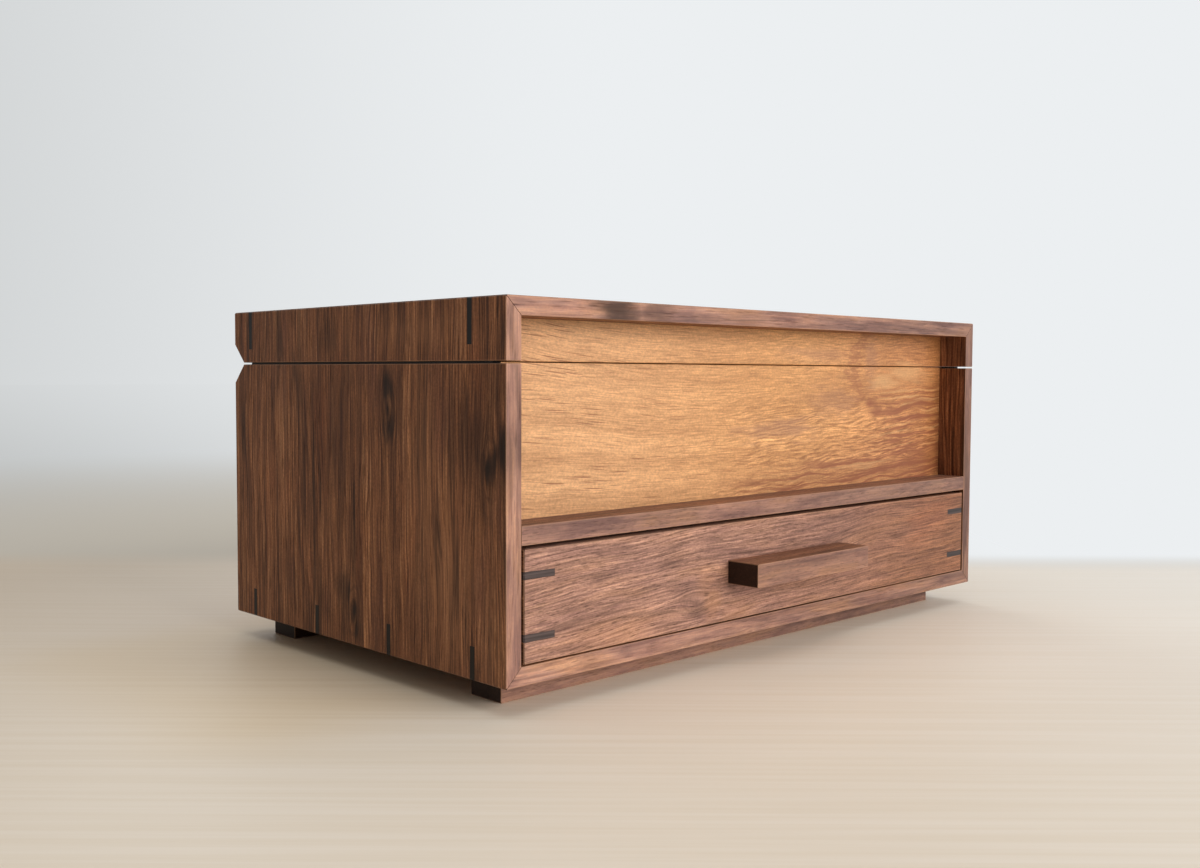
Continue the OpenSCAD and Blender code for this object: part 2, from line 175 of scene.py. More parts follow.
# %% Arithmetic for the finish class
class Finish(Finish):
    """The same, with arithmetic on numbers and vectors."""

    def math(self, operation, *values):
        return self.node("Math", dict(enumerate(values)), operation=operation)

    def product(self, first, *others):
        for other in others:
            first = self.math("MULTIPLY", first, other)
        return first

    def highest(self, first, *others):
        for other in others:
            first = self.math("MAXIMUM", first, other)
        return first

    def vector(self, operation, *values):
        output = "Value" if operation in ("LENGTH", "DOT_PRODUCT") else "Vector"
        return self.node("VectorMath", dict(enumerate(values)), output, operation=operation)

    def scaled(self, vector, factor):
        return self.node("VectorMath", {"Vector": vector, "Scale": factor}, "Vector", operation="SCALE")

    def fade(self, value, start, end):
        """0 where value is at start, 1 where it is at end, with a soft step between."""
        inputs = {"Value": value, "From Min": start, "From Max": end}
        return self.node("MapRange", inputs, interpolation_type="SMOOTHSTEP")

    def between(self, share, first, second):
        """The first number where share is 0, the second where it is 1."""
        return self.math("MULTIPLY_ADD", share, second - first, first)


print("products, fades and steps between two numbers are ready")


# %% Colours and textures for the finish class
class Finish(Finish):
    """The same, with colours, textures and what a mesh stores."""

    def ramp(self, value, *stops):
        socket = self.node("ValToRGB", {0: value})
        band = socket.node.color_ramp.elements
        band.remove(band[1])
        for index, (position, colour) in enumerate(stops):
            stop = band[0] if index == 0 else band.new(position)
            stop.position = position
            stop.color = colour
        return socket

    def mix(self, share, first, second, blend="MIX"):
        return self.node("Mix", {0: share, 6: first, 7: second}, 2, data_type="RGBA", blend_type=blend)

    def times(self, colour, other):
        """A colour multiplied with another colour, or with a number."""
        return self.mix(1.0, colour, other, "MULTIPLY")

    def stain(self, colour, other, mask, share):
        """The colour turned into another one by a share, where mask is 1."""
        return self.mix(self.product(mask, share), colour, other)

    def noise(self, at, size, detail=2.0, roughness=0.5, distortion=0.0):
        inputs = {
            "Vector": self.vector("MULTIPLY", at, tuple(1 / s for s in size)),
            "Scale": 1.0,
            "Detail": detail,
            "Roughness": roughness,
            "Distortion": distortion,
        }
        return self.node("TexNoise", inputs)

    def sway(self, at, size, reach, **settings):
        """A noise that swings from -reach to reach."""
        return self.between(self.noise(at, size, **settings), -reach, reach)

    def cells(self, at, size):
        """Distance to the nearest of a scatter of points, one to each feature."""
        place = self.vector("MULTIPLY", at, tuple(1 / s for s in size))
        return self.node("TexVoronoi", {"Vector": place, "Scale": 1.0})

    def stored(self, name, output="Fac"):
        """What the mesh stores under that name: a number, or three of them as a Vector."""
        return self.node("Attribute", {}, output, attribute_name=name)

    def bump(self, height, depth, strength):
        """A surface height, where 1 stands depth metres above 0."""
        normal = self.node("Bump", {"Height": height, "Distance": depth, "Strength": strength})
        self.plug(self.shader.inputs["Normal"], normal)


print("noise, cells, ramps and bumps are ready")

# %% [markdown]
# ## Floor, backdrop and light
# The box stands on a plain pale floor, in soft daylight that comes from the front. An upright backdrop
# would hide the box from behind, so there is only a floor. Past a line behind the box the floor turns
# a light grey, a white darkened as painted shade, and further off it takes the colour of the backdrop, which
# the world shows as well, so the two meet with no seam. Both are a little dimmer to the left, on the shaded
# side of the box: painted shade on the floor and on the backdrop that the camera sees. The floor is painted
# paler to the right, as painted light, and browner under and beside the box, as painted light that falls
# back from the wood. What the camera sees and what lights the box are kept apart with the Light Path node,
# so a white backdrop costs the box no contrast.

# %% Backdrop
BACKDROP = screen(236, 239, 241)
BACKDROP_DIM = screen(178, 180, 179)


def backdrop_share(finish):
    """1 for what the camera sees, directly, in a shine or through glass, and 0 for what lights the box."""
    path = finish.node("LightPath", {}, "Is Camera Ray").node
    rays = ("Is Camera Ray", "Is Glossy Ray", "Is Transmission Ray")
    return finish.highest(*[path.outputs[ray] for ray in rays])


def backdrop_colour(finish, direction):
    sideways = finish.vector("DOT_PRODUCT", direction, tuple(right))
    return finish.mix(finish.fade(sideways, -1.0, 0.05), BACKDROP_DIM, BACKDROP)


print("backdrop", [round(c, 2) for c in BACKDROP[:3]])

# %% Floor
FLOOR = screen(249, 237, 220)
FLOOR_LINE = screen(243, 229, 208)
FLOOR_DIM = screen(192, 170, 140)
FLOOR_PALE = screen(250, 246, 239)
FLOOR_WHITE = screen(200, 189, 170)
DIM_SIDE = (-0.02, -0.5)
PALE_SIDE = (0.02, 0.45)
FLOOR_END = 205 * MM
FLOOR_SOFT = 45 * MM
BACKDROP_NEAR, BACKDROP_FAR = 0.35, 1.6
BOUNCE = (0.97, 0.92, 0.82, 1)
BOUNCE_MIDDLE = Vector((-80, 40, 0)) * MM
BOUNCE_HALF = Vector((170, 70, 0)) * MM
BOUNCE_REACH = 70 * MM
BRIGHT_SIDE = 0.3
FADE_NEAR, FADE_FAR = 0.65, 1.7
FLOOR_REACH = 12.0


def bounced(f, place):
    """1 on the floor under the box and beside its shaded side, where brown light falls back from the wood."""
    offset = f.vector("ABSOLUTE", f.vector("SUBTRACT", place, tuple(BOUNCE_MIDDLE)))
    outside = f.vector("MAXIMUM", f.vector("SUBTRACT", offset, tuple(BOUNCE_HALF)), (0, 0, 0))
    return f.fade(f.vector("LENGTH", outside), BOUNCE_REACH, 0.0)


def floor_finish():
    f = Finish("pale_floor")
    place = f.node("TexCoord", {}, "Object")
    distance = f.vector("DOT_PRODUCT", place, tuple(level_ahead))
    beyond = f.fade(distance, FLOOR_END - FLOOR_SOFT, FLOOR_END + FLOOR_SOFT)
    sideways = f.vector("DOT_PRODUCT", place, tuple(right))
    board = f.node("CombineXYZ", {"X": sideways, "Y": distance})
    figure = f.noise(board, (0.25, 0.005, 1), detail=4, roughness=0.6)
    colour = f.mix(f.fade(figure, 0.3, 0.7), FLOOR_LINE, FLOOR)
    # Painted shade: darker to the left, on the shaded side of the box.
    colour = f.stain(colour, FLOOR_DIM, f.fade(sideways, *DIM_SIDE), 0.8)
    # Painted light: paler to the right.
    colour = f.stain(colour, FLOOR_PALE, f.fade(sideways, *PALE_SIDE), 0.7)
    colour = f.mix(bounced(f, place), colour, f.times(colour, BOUNCE))
    # Past the line, a light grey: white darkened as painted shade.
    f.set(base_color=f.mix(beyond, colour, FLOOR_WHITE), roughness=0.55, specular_ior_level=0.2)
    reach = f.vector("LENGTH", place)
    bright = f.fade(sideways, -BRIGHT_SIDE, BRIGHT_SIDE)
    behind = f.highest(f.fade(reach, BACKDROP_NEAR, BACKDROP_FAR), bright)
    far = f.highest(f.product(beyond, behind), f.fade(reach, FADE_NEAR, FADE_FAR))
    glow = f.node("Emission", {"Color": backdrop_colour(f, f.vector("NORMALIZE", place))})
    share = f.product(far, backdrop_share(f))
    both = f.node("MixShader", {0: share, 1: f.shader.outputs[0], 2: glow})
    f.plug(f.tree.nodes["Material Output"].inputs["Surface"], both)
    return f.material


floor_mesh = bpy.data.meshes.new("floor")
corners = [(x * FLOOR_REACH, y * FLOOR_REACH, 0) for x, y in ((-1, -1), (1, -1), (1, 1), (-1, 1))]
floor_mesh.from_pydata(corners, [], [(0, 1, 2, 3)])
floor_mesh.materials.append(floor_finish())
floor = bpy.data.objects.new("floor", floor_mesh)
scene.collection.objects.link(floor)
print("floor", 2 * FLOOR_REACH, "m across, white from", round(FLOOR_END, 3), "m behind the middle")

# %% World
FILL_COLOUR = screen(252, 250, 248)
FILL_LEVEL = 0.27


class Sky(Finish):
    """The world's own nodes, worked with the same methods."""

    def __init__(self, name):
        world = bpy.data.worlds.new(name)
        world.use_nodes = True
        self.tree = world.node_tree
        scene.world = world


sky = Sky("studio")
fill = sky.tree.nodes["Background"]
fill.inputs["Color"].default_value = FILL_COLOUR
fill.inputs["Strength"].default_value = FILL_LEVEL
direction = sky.node("TexCoord", {}, "Generated")
backdrop = sky.node("Background", {"Color": backdrop_colour(sky, direction), "Strength": 1.0})
shown = sky.node("MixShader", {0: backdrop_share(sky), 1: fill.outputs[0], 2: backdrop})
sky.plug(sky.tree.nodes["World Output"].inputs["Surface"], shown)
print("world fill", FILL_LEVEL)

# %% Lamps
LAMPS_AIM = Vector((0, 0, 90)) * MM


def softbox(name, turn, rise, distance, width, height, level, colour):
    """A wide lamp. turn, to the right of the front, and rise are in degrees. Level 1 lights a white card."""
    lamp = bpy.data.objects.new(name, bpy.data.lights.new(name, "AREA"))
    scene.collection.objects.link(lamp)
    lamp.data.shape = "RECTANGLE"
    lamp.data.size = width
    lamp.data.size_y = height
    lamp.data.energy = level * math.pi**2 * distance**2
    lamp.data.color = colour[:3]
    t, r = math.radians(turn), math.radians(rise)
    away = Vector((math.sin(t) * math.cos(r), -math.cos(t) * math.cos(r), math.sin(r)))
    lamp.location = LAMPS_AIM + away * distance
    lamp.rotation_euler = away.to_track_quat("Z", "Y").to_euler()


DAYLIGHT = screen(255, 252, 248)
SKYLIGHT = screen(248, 251, 255)
softbox("window_light", 8, 19, 3.2, 2.0, 1.8, 0.60, DAYLIGHT)
softbox("side_sheen", 36, 14, 3.0, 1.5, 1.4, 0.26, SKYLIGHT)
softbox("ceiling", 0, 88, 1.6, 1.8, 1.8, 0.34, SKYLIGHT)
softbox("back_fill", 165, 30, 3.0, 1.9, 1.6, 0.16, SKYLIGHT)

# %% [markdown]
# ## Boards that keep their grain
# A board is sawn from a log, so its grain runs through the wood and not just over the surface. An image
# wrapped around a board would break at every edge. A solid pattern doesn't, if each point of the board
# knows where it lies in the log: how far along the grain, across it, and into the board. Each board gets
# those three lengths as an attribute named grain. On this box one long board wraps around the case, so the
# left side, the top and the right side count on along the same length, and the figure runs over the mitres
# as it does on the real box.

# %% Where the boards lie in the log
case_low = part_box("case_bottom")[0] / MM
case_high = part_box("lid_top")[1] / MM
case_w = case_high.x - case_low.x
case_h = case_high.z - case_low.z
X, Y, Z = (1, 0, 0), (0, 1, 0), (0, 0, 1)


def opposite(axis):
    return tuple(-c for c in axis)


def tilted(along, across, degrees):
    """The two axes turned in their plane, for a board whose grain climbs."""
    t = math.radians(degrees)
    a, b = Vector(along), Vector(across)
    return tuple(a * math.cos(t) + b * math.sin(t)), tuple(b * math.cos(t) - a * math.sin(t))


left_side = (Z, Y, X, (-case_low.z, 0, -case_low.x))
right_side = (opposite(Z), Y, opposite(X), (case_h + case_w + case_high.z, 0, case_high.x))
top = (X, Y, opposite(Z), (case_h - case_low.x, 0, case_high.z))
bottom = (opposite(X), Y, Z, (case_low.x, 0, -case_low.z))
print("one wrapped board of", round(2 * case_h + case_w), "mm, and the bottom")

# %% The list of wooden pieces
DRAWER_CLIMB = 2.0
drawer_face = (*tilted(X, Z, DRAWER_CLIMB), Y, (0, 0, 0))
PANEL_FACE = (X, Z, Y, (0, 0, 0))
BACK_FACE = (opposite(X), Z, opposite(Y), (-case_w, 0, 0))

BOARDS = {
    "case_side_left": ("walnut_wrap", left_side),
    "lid_side_left": ("walnut_wrap", left_side),
    "case_side_right": ("walnut_wrap", right_side),
    "lid_side_right": ("walnut_wrap", right_side),
    "lid_top": ("walnut_wrap", top),
    "case_bottom": ("walnut_wrap", bottom),
    "shelf": ("walnut_rail", (X, Y, Z, (0, 0, 0))),
    "foot_rail_front": ("walnut_rail", (X, Y, Z, (0, 360, 0))),
    "foot_rail_rear": ("walnut_foot", (X, Y, Z, (1400, 160, 0))),
    "drawer_front": ("walnut_drawer", drawer_face),
    "drawer_handle": ("walnut_handle", (X, Y, Z, (2300, 40, 0))),
    "drawer_side_left": ("walnut_inside", (Y, Z, X, (3000, 80, 0))),
    "drawer_side_right": ("walnut_inside", (Y, Z, X, (3600, 80, 0))),
    "drawer_back": ("walnut_inside", (X, Z, Y, (4200, 80, 0))),
    "front_panel": ("figured", PANEL_FACE),
    "lid_front_panel": ("figured", PANEL_FACE),
    "back_panel": ("figured", BACK_FACE),
    "lid_back_panel": ("figured", BACK_FACE),
    "drawer_bottom": ("birch", (X, Y, Z, (0, 0, 0))),
    "case_splines_left": ("ebony", left_side),
    "case_splines_right": ("ebony", right_side),
    "lid_splines_left": ("ebony", left_side),
    "lid_splines_right": ("ebony", right_side),
    "drawer_splines": ("ebony_grey", (X, Z, Y, (0, 0, 0))),
}
print(len(BOARDS), "wooden pieces")

# %% [markdown]
# ## Eased edges
# No cabinet maker leaves an edge dead sharp: a stroke of fine paper takes off about half a millimetre. That
# thin facet catches the light, and it is what makes a render look like an object. But a glued joint must
# stay closed, or each mitre would show a groove. So every edge is tested: an edge that lies on a
# neighbouring piece is a joint and gets a hairline, and the others get the full rounding. The long corners,
# where two mitred boards share one edge, are planed off together, with one cut through both boards and
# their splines.

# %% Corners planed after gluing
EASED = 0.45 * MM
CORNER_CUT = 0.5 * MM


def corner_cuts(low, high, first, second):
    """The four planes that take off the corners of a box between low and high, seen along the third axis."""
    cuts = []
    for a, b in ((-1, -1), (1, -1), (-1, 1), (1, 1)):
        corner, outward = Vector((0, 0, 0)), Vector((0, 0, 0))
        corner[first] = high[first] if a > 0 else low[first]
        corner[second] = high[second] if b > 0 else low[second]
        outward[first], outward[second] = a, b
        outward.normalize()
        cuts.append((corner - outward * CORNER_CUT / math.sqrt(2), outward))
    return cuts


drawer_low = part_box("drawer_front")[0]
drawer_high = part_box("drawer_back")[1]
case_cuts = corner_cuts(case_low * MM, case_high * MM, 0, 2)
CUTS = {"case": case_cuts, "lid": case_cuts, "drawer": corner_cuts(drawer_low, drawer_high, 0, 1)}
body_of_node = {name: obj["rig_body"] for name, obj in nodes.items()}
print("cuts:", {body: len(cuts) for body, cuts in CUTS.items()})

# %% Clean copies of the construction's meshes
WELD = 0.002 * MM
FLAT_ANGLE = math.radians(0.5)


def clean_copy(name):
    """The node's mesh with its corners welded and its flat faces whole, ready for rounding."""
    bm = bmesh.new()
    bm.from_mesh(nodes[name].data)
    bmesh.ops.remove_doubles(bm, verts=bm.verts, dist=WELD)
    bmesh.ops.dissolve_limit(bm, angle_limit=FLAT_ANGLE, verts=bm.verts, edges=bm.edges)
    return bm


def plane_off(bm, cuts):
    for point, outward in cuts:
        everything = bm.verts[:] + bm.edges[:] + bm.faces[:]
        found = bmesh.ops.bisect_plane(
            bm, geom=everything, dist=WELD, plane_co=point, plane_no=outward, clear_outer=True
        )
        rim = [item for item in found["geom_cut"] if isinstance(item, bmesh.types.BMEdge)]
        if rim:
            bmesh.ops.edgeloop_fill(bm, edges=rim)
    bmesh.ops.recalc_face_normals(bm, faces=bm.faces)


trees = {name: BVHTree.FromPolygons(
    [v.co for v in obj.data.vertices], [p.vertices for p in obj.data.polygons]
) for name, obj in nodes.items()}
print(len(trees), "search trees for neighbours")

# %% Which edges are joints
TOUCHING = 0.08 * MM
SHARP_ANGLE = math.radians(50)
HAIRLINE = 0.3
edge_counts = {"joint": 0, "eased": 0}


def on_a_neighbour(name, point):
    for other, tree in trees.items():
        if other != name and body_of_node[other] == body_of_node[name]:
            if tree.find_nearest(point, TOUCHING)[0] is not None:
                return True
    return False


def weigh_edges(bm, name):
    """1 on edges to be rounded, a hairline on joints, 0 on edges that are hardly an edge."""
    weight = bm.edges.layers.float.new("bevel_weight_edge")
    for edge in bm.edges:
        if len(edge.link_faces) != 2 or edge.calc_face_angle() < SHARP_ANGLE:
            continue
        start, end = (v.co for v in edge.verts)
        joint = all(on_a_neighbour(name, start.lerp(end, share)) for share in (0.15, 0.5, 0.85))
        edge[weight] = HAIRLINE if joint else 1.0
        edge_counts["joint" if joint else "eased"] += 1


print("an edge closer than", round(TOUCHING / MM, 2), "mm to a neighbour is a joint")

# %% Rounding the edges of one piece
SMOOTH_ANGLE = math.radians(30)


def keep_shape(piece):
    """The result of the modifiers becomes the piece's own mesh."""
    graph = bpy.context.evaluated_depsgraph_get()
    shaped = bpy.data.meshes.new_from_object(piece.evaluated_get(graph))
    plain = piece.data
    piece.modifiers.clear()
    piece.data = shaped
    bpy.data.meshes.remove(plain)
    shaped.name = piece.name


def new_piece(title, mesh, name):
    """An object that stands for one node and moves with its body."""
    piece = bpy.data.objects.new(title, mesh)
    scene.collection.objects.link(piece)
    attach(piece, body_of_node[name])
    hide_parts(name)
    return piece


def finished_piece(name, title, width=EASED, segments=2, cut=True):
    """A piece in place of one node, with cleaned, weighed and rounded edges."""
    bm = clean_copy(name)
    if cut:
        plane_off(bm, CUTS[body_of_node[name]])
    weigh_edges(bm, name)
    mesh = bpy.data.meshes.new(title)
    bm.to_mesh(mesh)
    bm.free()
    mesh.shade_smooth()
    mesh.set_sharp_from_angle(angle=SMOOTH_ANGLE)
    piece = new_piece(title, mesh, name)
    bevel = piece.modifiers.new("eased edges", "BEVEL")
    bevel.limit_method = "WEIGHT"
    bevel.width = width
    bevel.segments = segments
    bevel.harden_normals = True
    keep_shape(piece)
    return piece


print("edges are rounded by", round(EASED / MM, 2), "mm")

# %% Grain on one piece
WORN_STRIP = 0.8 * MM
SEAM_STRIP = 0.17 * MM


def worn_face(mesh, polygon):
    """1 on the narrow slanted strips that the easing left, -1 on the hairlines along a joint, 0 elsewhere."""
    corners = [mesh.vertices[v].co for v in polygon.vertices]
    narrow = min((a - b).length for a, b in zip(corners, corners[1:] + corners[:1]))
    if narrow > WORN_STRIP or max(abs(c) for c in polygon.normal) > 0.97:
        return 0.0
    return -1.0 if narrow < SEAM_STRIP else 1.0


def lay_grain(mesh, lie):
    """Each point's place in the log and from left to right, and which faces are end grain, edge or worn."""
    along, across, into, shift = lie
    places = np.array([v.co for v in mesh.vertices]) / MM
    grain = places @ np.array((along, across, into)).T + np.array(shift)
    layer = mesh.attributes.new("grain", "FLOAT_VECTOR", "POINT")
    layer.data.foreach_set("vector", grain.astype(np.float32).ravel())
    for label, axis in (("end_grain", along), ("edge_grain", across)):
        facing = [1.0 if abs(p.normal.dot(Vector(axis))) > 0.8 else 0.0 for p in mesh.polygons]
        mesh.attributes.new(label, "FLOAT", "FACE").data.foreach_set("value", facing)
    rightward = places[:, 0] / case_w + 0.5
    mesh.attributes.new("rightward", "FLOAT", "POINT").data.foreach_set("value", rightward.astype(np.float32))
    worn = [worn_face(mesh, p) for p in mesh.polygons]
    mesh.attributes.new("worn", "FLOAT", "FACE").data.foreach_set("value", worn)


wooden = {}
for name, (finish, lie) in BOARDS.items():
    wooden[name] = finished_piece(name, name + "_wood")
    lay_grain(wooden[name].data, lie)
print(len(wooden), "wooden pieces,", edge_counts)

# %% [markdown]
# ## Walnut
# Walnut is a middling brown wood with fine broken streaks, thin dark growth lines, short pores like pencil
# dashes, smoky knots around which the lines part, and cloudy patches of plum, red, mauve and gold, with
# fine light and dark flecks over all of it. Blender's Wave texture makes even stripes that look printed.
# Noise stretched along the grain gives streaks of every width instead, and pulling the lines sideways
# around a few points gives the knots. All of it is solid, so that it runs over the mitres. The long front
# edges of the boards are rosier and calmer than their faces. That pink is partly their own tone and partly
# painted sheen, and some faces carry a pink painted sheen at their left. The boards are a little darker
# to the right, as painted shade.

# %% Knots and smoke
RINGS = 17.0
RING_BEND = 9.0
DRAWN_ASIDE = 0.8


def reach_of(f, grain, along, across, length, width):
    """How far a point lies from the middle of a spot, with 1 on the spot's outline."""
    offset = f.vector("SUBTRACT", grain, (along, across, 0))
    return f.vector("LENGTH", f.vector("MULTIPLY", offset, (1 / length, 1 / width, 0)))


def part_around(f, grain, knots):
    """The grain with its lines drawn aside at each knot, given as along, across, length and width."""
    for knot in knots:
        offset = f.vector("SUBTRACT", grain, (*knot[:2], 0))
        aside = f.vector("MULTIPLY", offset, (0, -DRAWN_ASIDE, 0))
        grain = f.vector("ADD", grain, f.scaled(aside, f.fade(reach_of(f, grain, *knot), 1.0, 0.0)))
    return grain


def smudges(f, grain, places, ragged):
    """Soft ragged spots, each given as along, across, length, width and strength."""
    tear = f.sway(grain, (16, 3.2, 5), ragged, detail=3)
    spots = []
    for *spot, strength in places:
        reach = f.math("ADD", reach_of(f, grain, *spot), tear)
        spots.append(f.product(f.fade(reach, 1.0, 0.1), strength))
    return f.highest(*spots)


def knot_rings(f, grain, knots):
    """Dark curved lines around each knot, from 0 to 1."""
    bend = f.product(f.noise(grain, (14, 6, 6), detail=3), RING_BEND)
    rings = []
    for knot in knots:
        reach = reach_of(f, grain, *knot)
        wave = f.math("SINE", f.math("MULTIPLY_ADD", reach, RINGS, bend))
        rings.append(f.product(f.fade(wave, 0.1, 0.9), f.fade(reach, 1.25, 0.45)))
    return f.highest(*rings)


print("a knot parts the lines and has rings, a smudge darkens them")

# %% Walnut colours
POCKET = screen(33, 18, 10)
SMOKE = screen(50, 29, 18)
DARK_STREAK = screen(76, 45, 29)
BROWN = screen(118, 76, 51)
WARM = screen(144, 95, 64)
PALE_STREAK = screen(178, 127, 91)
PLUM = screen(112, 72, 58)
RED_BROWN = screen(148, 87, 56)
# End grain: darker than its own tone, as painted shade on the shaded ends of the handle and the feet.
END_GRAIN = screen(30, 16, 10)
# Pink: partly the wood's own tone and partly painted sheen.
ROSY = screen(206, 164, 146)
ROSY_SHADE = screen(142, 105, 97)
WORN = screen(194, 150, 120)
FIBRE_DARK = (0.60, 0.57, 0.54, 1)
FIBRE_PALE = (1.30, 1.30, 1.30, 1)
MAUVE_TINT = (0.60, 0.58, 0.66, 1)
PLAIN_TINT = (1, 1, 1, 1)
GOLD_TINT = (1.05, 1.02, 0.86, 1)
print("streaks from", [round(c, 3) for c in DARK_STREAK[:3]], "to", [round(c, 3) for c in PALE_STREAK[:3]])

# %% A walnut board
EDGE_LINES = 0.55


class Walnut(Finish):
    """A walnut finish in the making. These values are a plain board's, and a board can bring its own."""

    knots = smoke = hearts = glow = edge_smoke = ()  # lists of spots
    streak = (62, 1.1, 1.6)  # length, width and depth of one streak, in mm
    fibre = (24, 0.75, 0.75)
    pore = (7, 0.55, 0.55)
    pore_share = 0.65  # how dark the pores are
    growth_share = 0.55  # how dark the growth lines are
    contrast = 0.55  # share of the fine streaks against the broad bands
    swing = 1.0  # how far light and dark streaks lie apart
    # When depth is set low, it is painted shade for a board that lies in shade.
    depth = 1.0  # brightness of the whole board
    ragged = 0.6  # how torn the smoke is
    specks = 0.2  # strength of the flecks
    patchy = 0.3  # strength of the mauve and golden patches on a face
    ringed = True  # whether the knots have rings
    # The next three paint a sheen: the pink of the long edges, partly their own tone and partly painted
    # sheen; a pink painted sheen on the faces at the left; and how much of that painted sheen fades to the
    # right.
    rosy = 0.0  # pink of the long edges
    blush = 0.0  # pink of the faces at the left
    fading = 0.0  # how much of that pink is lost towards the right
    # Painted shade: how much darker the board is at the right.
    dim = 0.0  # how much darker the board is at the right
    settle = 0.0  # how much calmer the lines are at the right

    def __init__(self, name, **own):
        super().__init__(name)
        for key, value in own.items():
            setattr(self, key, value)
        self.log = self.stored("grain", "Vector")
        self.edge = self.stored("edge_grain")
        self.rightward = self.fade(self.stored("rightward"), 0.0, 1.0)
        self.quiet = self.between(self.edge, 1.0, EDGE_LINES)


print("a streak is", Walnut.streak[0], "mm long and", Walnut.streak[1], "mm wide on a plain board")


# %% Walnut lines
def flecks(f, grain, amount):
    """Fine light and dark specks, as a colour to multiply with."""
    speck = f.noise(grain, (1.3, 0.9, 0.9), detail=2, roughness=0.6)
    low, high = 1 - amount, 1 + amount
    return f.ramp(speck, (0.25, (low, low, low, 1)), (0.75, (high, high, high, 1)))


def growth_lines(f, lines, size, width):
    """1 on thin lines where a slow noise crosses its middle value."""
    level = f.noise(lines, size, detail=1)
    return f.fade(f.math("ABSOLUTE", f.math("SUBTRACT", level, 0.5)), width, 0.0)


def walnut_lines(f, grain):
    """The wavering grain, and its streaks, fibres, growth lines and pores, each from 0 to 1."""
    drift = f.sway(grain, (120, 30, 34), 5.0, detail=2)
    wobble = f.sway(grain, (26, 7, 7), 0.5, detail=1)
    lines = f.vector("ADD", grain, f.node("CombineXYZ", {"Y": f.math("ADD", drift, wobble), "Z": wobble}))
    bands = f.noise(lines, (240, 9, 12), detail=3, roughness=0.6)
    streaks = f.noise(lines, f.streak, detail=5, roughness=0.7)
    tone = f.math("MULTIPLY_ADD", bands, 1 - f.contrast, f.product(streaks, f.contrast))
    fibres = f.noise(lines, f.fibre, detail=2, roughness=0.6)
    broken = f.fade(f.noise(lines, (60, 12, 12), detail=1), 0.34, 0.56)
    slow = f.product(growth_lines(f, lines, (420, 15, 22), 0.024), broken)
    fine = f.product(growth_lines(f, lines, (260, 5, 8), 0.05), 0.45)
    hair = f.product(growth_lines(f, lines, (150, 2.0, 3), 0.08), 0.38)
    pores = f.fade(f.cells(lines, f.pore), 0.34, 0.14)
    return lines, tone, fibres, f.highest(slow, fine, hair), pores


print("lines are noise, drawn out along the grain")

# %% Walnut colour
EDGE_PATCHY = 0.85
GLOW_RAGGED = 0.3
BLUSH_FADES = (-60.0, 170.0)


def walnut_colour(f, grain, lines, tone, fibres):
    """The brown of a board, with its clouds, its pink that is partly painted sheen, its fibres and flecks,
    and its tinted patches.
    """
    colour = f.ramp(tone, (0.38, DARK_STREAK), (0.47, BROWN), (0.53, WARM), (0.63, PALE_STREAK))
    clouds = f.noise(grain, (90, 22, 26), detail=2)
    colour = f.stain(colour, PLUM, f.fade(clouds, 0.54, 0.72), 0.45)
    colour = f.stain(colour, RED_BROWN, f.fade(clouds, 0.46, 0.28), 0.40)
    # Pink: partly the edges' own tone and partly painted sheen, and on the faces a painted sheen at the left
    # that fades to the right.
    pink = f.ramp(tone, (0.40, ROSY_SHADE), (0.57, ROSY))
    faded = f.fade(f.node("SeparateXYZ", {0: f.log}, "X"), *BLUSH_FADES)
    colour = f.mix(f.between(faded, f.blush, f.blush - f.fading), colour, pink)
    colour = f.times(colour, f.ramp(fibres, (0.32, FIBRE_DARK), (0.68, FIBRE_PALE)))
    colour = f.times(colour, flecks(f, grain, f.specks))
    if f.glow:
        colour = f.mix(smudges(f, f.log, f.glow, GLOW_RAGGED), colour, PALE_STREAK)
    colour = f.stain(colour, pink, f.edge, f.rosy)
    patches = f.noise(lines, (42, 7, 9), detail=3, roughness=0.6)
    tint = f.ramp(patches, (0.37, MAUVE_TINT), (0.52, PLAIN_TINT), (0.66, GOLD_TINT))
    return f.mix(f.between(f.edge, f.patchy, EDGE_PATCHY), colour, f.times(colour, tint))


print("on an edge the tinted patches have a strength of", EDGE_PATCHY, "and on a face", Walnut.patchy)

# %% Walnut marks
FACE_RINGS, EDGE_RINGS = 0.32, 0.07
EDGE_WISPS = 0.15
EDGE_HEARTS = 0.2
HEART_RAGGED = 0.35


def walnut_marks(f, colour, lines, growth, pores):
    """The colour with growth lines, pores, the rings of the knots, smoke and dark hearts."""
    colour = f.mix(f.product(growth, f.growth_share, f.quiet), colour, POCKET)
    open_pores = f.between(f.rightward, f.pore_share, f.pore_share * (1 - f.settle))
    colour = f.mix(f.product(pores, open_pores, f.quiet), colour, POCKET)
    if f.knots and f.ringed:
        rings = knot_rings(f, f.log, f.knots)
        colour = f.stain(colour, SMOKE, rings, f.between(f.edge, FACE_RINGS, EDGE_RINGS))
    if f.smoke:
        wisps = f.between(f.fade(f.noise(lines, (30, 1.6, 4), detail=3), 0.30, 0.54), 0.4, 1.0)
        wisps = f.product(wisps, f.between(f.edge, 1.0, EDGE_WISPS))
        colour = f.stain(colour, SMOKE, smudges(f, f.log, f.smoke, f.ragged), wisps)
    if f.edge_smoke:
        colour = f.stain(colour, SMOKE, smudges(f, f.log, f.edge_smoke, f.ragged), f.edge)
    if f.hearts:
        inner = f.between(f.edge, 1.0, EDGE_HEARTS)
        colour = f.stain(colour, POCKET, smudges(f, f.log, f.hearts, HEART_RAGGED), inner)
    return colour


print("the rings of a knot have a strength of", FACE_RINGS, "on a face and", EDGE_RINGS, "on an edge")

# %% Walnut finish
FACE_DIM = 0.4


